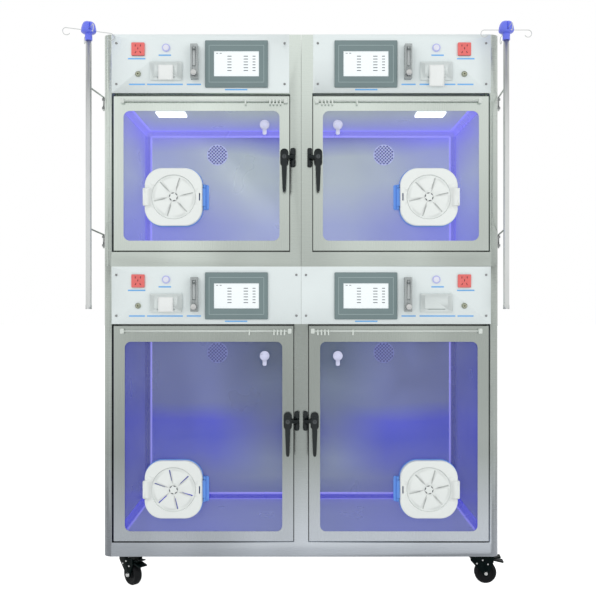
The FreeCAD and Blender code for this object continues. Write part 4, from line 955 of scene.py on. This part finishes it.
def dress_screens(scene):
    """Bezels, their raised line, and a generic page of readings."""
    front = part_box("touchscreens")[0].y
    spots = [bay.spot("screen") for bay in BAYS]

    def face(centre, normal):
        return int(centre.y > front + GLASS_DEEP and any(within(centre, spot, SCREEN_HALF) for spot in spots))

    welded("touchscreens", ["bezel_plastic", "screen_face"], face)
    glass = front + GLASS_DEEP
    parts = []
    for spot in spots:
        work = bmesh.new()
        for sign in (1, -1):
            for x, z, w, h in ((0, sign * LINE_HEIGHT / 2, LINE_WIDTH, LINE_THICK),
                               (sign * LINE_WIDTH / 2, 0, LINE_THICK, LINE_HEIGHT)):
                add_block(work, (spot.x + x - w / 2, front - INK, spot.z + z - h / 2),
                          (spot.x + x + w / 2, front, spot.z + z + h / 2))
        parts.append(shaped("line", work, "bezel_line"))
        for start, width in COLUMNS:
            parts.append(grown("rows", row_tree, "screen_ink", Count=scene.cage_panel.rows,
                               Start=(spot.x + start, glass, spot.z + ROW_TOP), Step=(0, 0, -ROW_PITCH),
                               Size=(width, INK, ROW_HEIGHT)))
        parts.append(grown("title", row_tree, "screen_ink", Count=2,
                           Start=(spot.x + TITLE_SIDE, glass, spot.z + TITLE_TOP), Step=(TITLE_STEP, 0, 0),
                           Size=(TITLE_WIDTH, INK, TITLE_HEIGHT)))
    gather("screen_page", parts, "cabinet", "screen_bezel")


# The tube and the float of a flow meter: foot and top radius, length, depth, height over the meter's middle
METER_CONES = (("tube", "tube_glass", 0.0052, 0.0040, 0.062, 0.0005, 0.015),
               ("float", "meter_ink", 0.0052, 0.0056, 0.006, 0.0004, 0.038))
# Its scale: how many marks, place of the lowest from the meter's middle, pitch, width and height of a mark
MARKS = 9
MARK_SIDE, MARK_LOW, MARK_PITCH = 0.0085, -0.012, 0.0065
MARK_WIDTH, MARK_HEIGHT = 0.004, 0.0007


def dress_meters(scene):
    """Clear meter bodies with a scale, a tube and a float."""
    welded("flowmeters", ["meter_acrylic"])
    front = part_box("flowmeters")[0].y
    parts = []
    for bay in BAYS:
        spot = bay.spot("meter")
        parts.append(grown("scale", row_tree, "meter_ink", Count=MARKS,
                           Start=(spot.x + MARK_SIDE, front - SKIN / 2, spot.z + MARK_LOW),
                           Step=(0, 0, MARK_PITCH), Size=(MARK_WIDTH, SKIN, MARK_HEIGHT)))
        for name, finish, foot_radius, top_radius, length, deep, rise in METER_CONES:
            work = bmesh.new()
            add_cone(work, foot_radius, top_radius, length,
                     Matrix.Translation((spot.x, front + deep, spot.z + rise)))
            parts.append(shaped(name, work, finish, 40))
    gather("meter_fittings", parts, "cabinet", "meter_acrylic")


# How far a strip hangs under its printer; the lower right printer shows none
PAPER_DROP = {"lower_left": 0.008, "upper_left": 0.008, "upper_right": 0.030}
# A strip: width, thickness, start over the printer's middle, length down to the printer's foot, distance
# before the panel, how far it curls out, and the height of its creases
PAPER_WIDTH = 0.052
PAPER_THICK = 0.0003
PAPER_TOP = 0.020
PAPER_LENGTH = 0.044
PAPER_FACE = 0.0091
PAPER_CURL = 0.004
PAPER_CREASE = 0.0008
# Parts that its length and its width are cut into
PAPER_STEPS = 12
PAPER_CUTS = 6


def load_paper(scene):
    """Strips of printer paper that curl out of the slot and hang."""
    parts = []
    for bay in BAYS:
        if bay.name not in PAPER_DROP:
            continue
        spot = bay.spot("printer")
        length = PAPER_LENGTH + PAPER_DROP[bay.name]
        work = bmesh.new()
        grid = []
        for share in (step / PAPER_STEPS for step in range(PAPER_STEPS + 1)):
            y = bay.panel_face - PAPER_FACE - PAPER_CURL * math.sin(math.pi * share)
            z = spot.z + PAPER_TOP - share * length
            grid.append([work.verts.new((spot.x + PAPER_WIDTH * (c / PAPER_CUTS - 0.5),
                                         y + PAPER_CREASE * math.sin(c * 1.3 + z * 90), z))
                         for c in range(PAPER_CUTS + 1)])
        for a, b in zip(grid, grid[1:]):
            for c in range(PAPER_CUTS):
                work.faces.new((a[c], b[c], b[c + 1], a[c + 1]))
        parts.append(shaped("strip", work, "paper", 60))
    paper = gather("printer_paper", parts, "cabinet", "printer_plastic")
    paper.modifiers.new("thickness", "SOLIDIFY").thickness = PAPER_THICK


# Poles

# Outline of a hook head from its foot to its top: share of the height, radius, depth of the grooves
HEAD_OUTLINE = [(0.08, 0.0124, 0.0), (0.39, 0.0124, 0.0), (0.41, 0.0200, 0.0), (0.45, 0.0238, 0.02),
                (0.50, 0.0256, 0.10), (0.55, 0.0256, 0.26), (0.70, 0.0240, 0.28), (0.82, 0.0216, 0.28),
                (0.89, 0.0190, 0.24), (0.93, 0.0156, 0.16), (0.945, 0.0110, 0.05)]
# Half the width of a groove and of a lobe in degrees, and how much the lobes swell between grooves
GROOVE_HALF = 9
LOBE_HALF = 45
LOBE_SWELL = 0.12
# Faces that lie wholly nearer than this to the pole's line are the head's body, not its hooks
HEAD_REACH = 0.040


def hook_crown(name, middle, foot, top, turn):
    """A moulded head: a neck, a skirt and a rounded crown in four lobes, with a groove over every hook."""
    work = bmesh.new()
    loops = []
    for share, radius, groove in HEAD_OUTLINE:
        loop = []
        for degrees in range(0, 360, 5):
            off = (degrees - turn + LOBE_HALF) % (2 * LOBE_HALF) - LOBE_HALF
            cut = 1 - groove * math.exp(-(off / GROOVE_HALF) ** 2)
            reach = radius * cut * (1 + LOBE_SWELL * groove * abs(off) / LOBE_HALF)
            angle = math.radians(degrees)
            x, y = middle.x + reach * math.cos(angle), middle.y + reach * math.sin(angle)
            loop.append(work.verts.new((x, y, foot + share * (top - foot))))
        loops.append(loop)
    add_skin(work, loops)
    work.faces.new(list(reversed(loops[0])))
    work.faces.new(loops[-1])
    return shaped(name, work, "head_blue", 40)


def hook_wires(node, middle):
    """The four hooks of a head without its moulded body, the body's foot and top, a hook's direction."""
    work = merged(node)
    body = [face for face in work.faces
            if all((vert.co - middle).xy.length < HEAD_REACH for vert in face.verts)]
    heights = [vert.co.z for face in body for vert in face.verts]
    bmesh.ops.delete(work, geom=body, context="FACES")
    far = max(work.verts, key=lambda vert: vert.co.x).co - middle
    turn = math.degrees(math.atan2(far.y, far.x))
    return shaped(node + "_wires", work, "tube_steel", 40), min(heights), max(heights), turn


def dress_poles(scene):
    for side in ("left", "right"):
        welded(side + "_iv_pole", ["tube_steel"], degrees=40)
        node = side + "_iv_head"
        low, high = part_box(node)
        middle = (low + high) / 2
        wires, foot, top, turn = hook_wires(node, middle)
        crown = hook_crown(node + "_crown", middle, foot, top, turn)
        head = gather(node + "_dressed", [wires, crown], BODY_OF[node], SLOT_OF[node])
        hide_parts(node)
    welded("pole_brackets", ["bracket_steel"])


# Casters

# Bolt heads on the cheek of a fork: distance behind the swivel, height over the floor, radius, thickness
FORK_BOLTS = [(0.035, 0.038, 0.0080, 0.0054), (0.004, 0.072, 0.0036, 0.0018),
              (0.024, 0.084, 0.0036, 0.0018), (0.042, 0.070, 0.0036, 0.0018)]
# From the middle of a wheel to the outside of a cheek
CHEEK_OUT = 0.021
# Radius of a bolt head's flat top as a share of its foot
DOME = 0.7


def fork_bolts(name, fork):
    """Domed heads of the axle bolt and of three rivets, on both cheeks."""
    swivel = Vector(JOINTS[name + "_swivel"]["pos_m"])
    roll = JOINTS[name + "_roll"]
    back = (Vector(roll["pos_m"]) - swivel) * Vector((1, 1, 0))
    back.normalize()
    work = bmesh.new()
    for side in (-1, 1):
        out = Vector(roll["axis"]) * side
        turn = out.to_track_quat("Z", "Y").to_matrix().to_4x4()
        for behind, height, radius, thick in FORK_BOLTS:
            middle = Vector((swivel.x, swivel.y, height)) + back * behind + out * (CHEEK_OUT + thick / 2)
            add_cone(work, radius, radius * DOME, thick, Matrix.Translation(middle) @ turn)
    seat(shaped(name + "_fork_bolts", work, "knob_silver", 50), BODY_OF[fork], SLOT_OF[fork])


def dress_casters(scene):
    welded("caster_plates", ["bracket_steel"])
    for name in ("front_left", "front_right", "rear_left", "rear_right"):
        welded(name + "_caster_fork", ["caster_black"], degrees=30)
        welded(name + "_caster_wheel", ["wheel_rubber"], degrees=30)
        fork_bolts(name, name + "_caster_fork")
    for name in ("front_left", "front_right"):
        welded(name + "_brake_pedal", ["caster_black"], degrees=30)


# Studio

# Half the floor's size, its shade for the cage's light, and its glow for other rays and for the camera
FLOOR_HALF = 30.0
FLOOR_SHADE = (0.55, 0.55, 0.55)
FLOOR_GLOW = (0.35, 0.93)
# The lamps: name, place, share of the key's power, size
LAMPS = (("key", (-2.6, -3.6, 3.4), 1.0, 2.6), ("fill", (2.9, -3.2, 2.2), 0.6, 2.4),
         ("top", (0.2, 0.4, 4.2), 0.5, 2.2))
CAMERA_HEIGHT = 0.989
CAMERA_SIDE = -0.011
CAMERA_DISTANCE = 2.868
LENS = 50.0


def set_stage(scene):
    """Seamless pale floor, soft lamps, the surrounding light and the camera."""
    studio = scene.cage_studio
    floor = Finish("floor_paper", tuple(studio.backdrop), roughness=0.8)
    seen = floor.add("ShaderNodeLightPath").outputs["Is Camera Ray"]
    floor.set(Base_Color=FLOOR_SHADE, Emission_Color=(1, 1, 1),
              Emission_Strength=floor.spread(seen, 0.0, 1.0, *FLOOR_GLOW))
    work = bmesh.new()
    bmesh.ops.create_grid(work, x_segments=1, y_segments=1, size=FLOOR_HALF)
    ground = shaped("floor", work, "floor_paper")

    world = bpy.data.worlds.new("studio")
    scene.world = world
    world.use_nodes = True
    sky = NodeWork(world.node_tree)
    rays = sky.add("ShaderNodeLightPath").outputs
    direct = sky.maths("MAXIMUM", sky.maths("MAXIMUM", rays["Is Camera Ray"], rays["Is Glossy Ray"]),
                       rays["Is Transmission Ray"])
    back = world.node_tree.nodes["Background"].inputs
    sky.feed(back["Color"], tuple(studio.backdrop))
    sky.feed(back["Strength"], sky.spread(direct, 0.0, 1.0, studio.sky, 1.0))

    for name, place, share, size in LAMPS:
        lamp = bpy.data.lights.new(name, "AREA")
        lamp.energy = studio.key_power * share
        lamp.size = size
        lamp_object = bpy.data.objects.new(name, lamp)
        lamp_object.location = place
        aim = Vector((0, 0, 1.0)) - Vector(place)
        lamp_object.rotation_euler = aim.to_track_quat("-Z", "Y").to_euler()
        lamp_object.visible_glossy = False
        scene.collection.objects.link(lamp_object)

    camera = bpy.data.cameras.new("camera")
    camera.lens = LENS
    camera.sensor_width = 36.0
    viewer = bpy.data.objects.new("camera", camera)
    viewer.location = (CAMERA_SIDE, BAYS[0].front_face - CAMERA_DISTANCE, CAMERA_HEIGHT)
    viewer.rotation_euler = (math.pi / 2, 0, 0)
    scene.collection.objects.link(viewer)
    scene.camera = viewer
    scene.view_settings.view_transform = "Standard"


# Operators and the panel


class CAGE_OT_finishes(bpy.types.Operator):
    """Make every finish of the cage from the settings"""

    bl_idname = "cage.finishes"
    bl_label = "Make Finishes"

    def execute(self, context):
        make_finishes(context.scene)
        return {"FINISHED"}


class CAGE_OT_cabinets(bpy.types.Operator):
    """Dress the cabinet shells, the chamber liners, the seals and the keepers"""

    bl_idname = "cage.cabinets"
    bl_label = "Dress Cabinets"

    def execute(self, context):
        dress_cabinets(context.scene)
        return {"FINISHED"}


class CAGE_OT_outlets(bpy.types.Operator):
    """Add the perforated air outlets to the back walls"""

    bl_idname = "cage.outlets"
    bl_label = "Perforate Air Outlets"

    def execute(self, context):
        perforate_outlets(context.scene)
        return {"FINISHED"}


class CAGE_OT_doors(bpy.types.Operator):
    """Dress the door frames, panes, latches, port doors and tube plugs"""

    bl_idname = "cage.doors"
    bl_label = "Dress Doors"

    def execute(self, context):
        dress_doors(context.scene)
        return {"FINISHED"}


class CAGE_OT_vents(bpy.types.Operator):
    """Make the pleated turning vents of the access ports"""

    bl_idname = "cage.vents"
    bl_label = "Make Port Vents"

    def execute(self, context):
        make_vents(context.scene)
        return {"FINISHED"}


class CAGE_OT_panels(bpy.types.Operator):
    """Dress the control panels with their outlets, screws, knobs and printed bars"""

    bl_idname = "cage.panels"
    bl_label = "Dress Panels"

    def execute(self, context):
        dress_panels(context.scene)
        return {"FINISHED"}


class CAGE_OT_screens(bpy.types.Operator):
    """Dress the touch screens and draw a generic page of readings on each"""

    bl_idname = "cage.screens"
    bl_label = "Dress Screens"

    def execute(self, context):
        dress_screens(context.scene)
        return {"FINISHED"}


class CAGE_OT_meters(bpy.types.Operator):
    """Dress the flow meters and add their tubes, floats and scales"""

    bl_idname = "cage.meters"
    bl_label = "Dress Flow Meters"

    def execute(self, context):
        dress_meters(context.scene)
        return {"FINISHED"}


class CAGE_OT_paper(bpy.types.Operator):
    """Hang strips of paper from the printers"""

    bl_idname = "cage.paper"
    bl_label = "Load Paper"

    def execute(self, context):
        load_paper(context.scene)
        return {"FINISHED"}


class CAGE_OT_poles(bpy.types.Operator):
    """Dress the infusion poles, their hook heads and brackets"""

    bl_idname = "cage.poles"
    bl_label = "Dress Poles"

    def execute(self, context):
        dress_poles(context.scene)
        return {"FINISHED"}


class CAGE_OT_casters(bpy.types.Operator):
    """Dress the casters and their brake pedals"""

    bl_idname = "cage.casters"
    bl_label = "Dress Casters"

    def execute(self, context):
        dress_casters(context.scene)
        return {"FINISHED"}


class CAGE_OT_stage(bpy.types.Operator):
    """Set the floor, the lamps, the surrounding light and the camera"""

    bl_idname = "cage.stage"
    bl_label = "Set Stage"

    def execute(self, context):
        set_stage(context.scene)
        return {"FINISHED"}


STEPS = (CAGE_OT_finishes, CAGE_OT_cabinets, CAGE_OT_outlets, CAGE_OT_doors, CAGE_OT_vents, CAGE_OT_panels,
         CAGE_OT_screens, CAGE_OT_meters, CAGE_OT_paper, CAGE_OT_poles, CAGE_OT_casters, CAGE_OT_stage)


class CAGE_PT_sidebar(bpy.types.Panel):
    """Steps and settings of the care cage"""

    bl_idname = "CAGE_PT_sidebar"
    bl_label = "Care Cage"
    bl_space_type = "VIEW_3D"
    bl_region_type = "UI"
    bl_category = "Care Cage"

    def draw(self, context):
        column = self.layout.column()
        for step in STEPS:
            column.operator(step.bl_idname)
        for name, group in SETTINGS.items():
            column.label(text=name.replace("_", " ").title())
            for field in group.__annotations__:
                column.prop(getattr(context.scene, name), field)


def register():
    for group in SETTINGS.values():
        bpy.utils.register_class(group)
    for name, group in SETTINGS.items():
        setattr(bpy.types.Scene, name, PointerProperty(type=group))
    for step in STEPS:
        bpy.utils.register_class(step)
    bpy.utils.register_class(CAGE_PT_sidebar)


def unregister():
    bpy.utils.unregister_class(CAGE_PT_sidebar)
    for step in reversed(STEPS):
        bpy.utils.unregister_class(step)
    for name in SETTINGS:
        delattr(bpy.types.Scene, name)
    for group in reversed(list(SETTINGS.values())):
        bpy.utils.unregister_class(group)


def main():
    register()
    for step in STEPS:
        group, name = step.bl_idname.split(".")
        getattr(getattr(bpy.ops, group), name)()


if __name__ == "__main__":
    main()
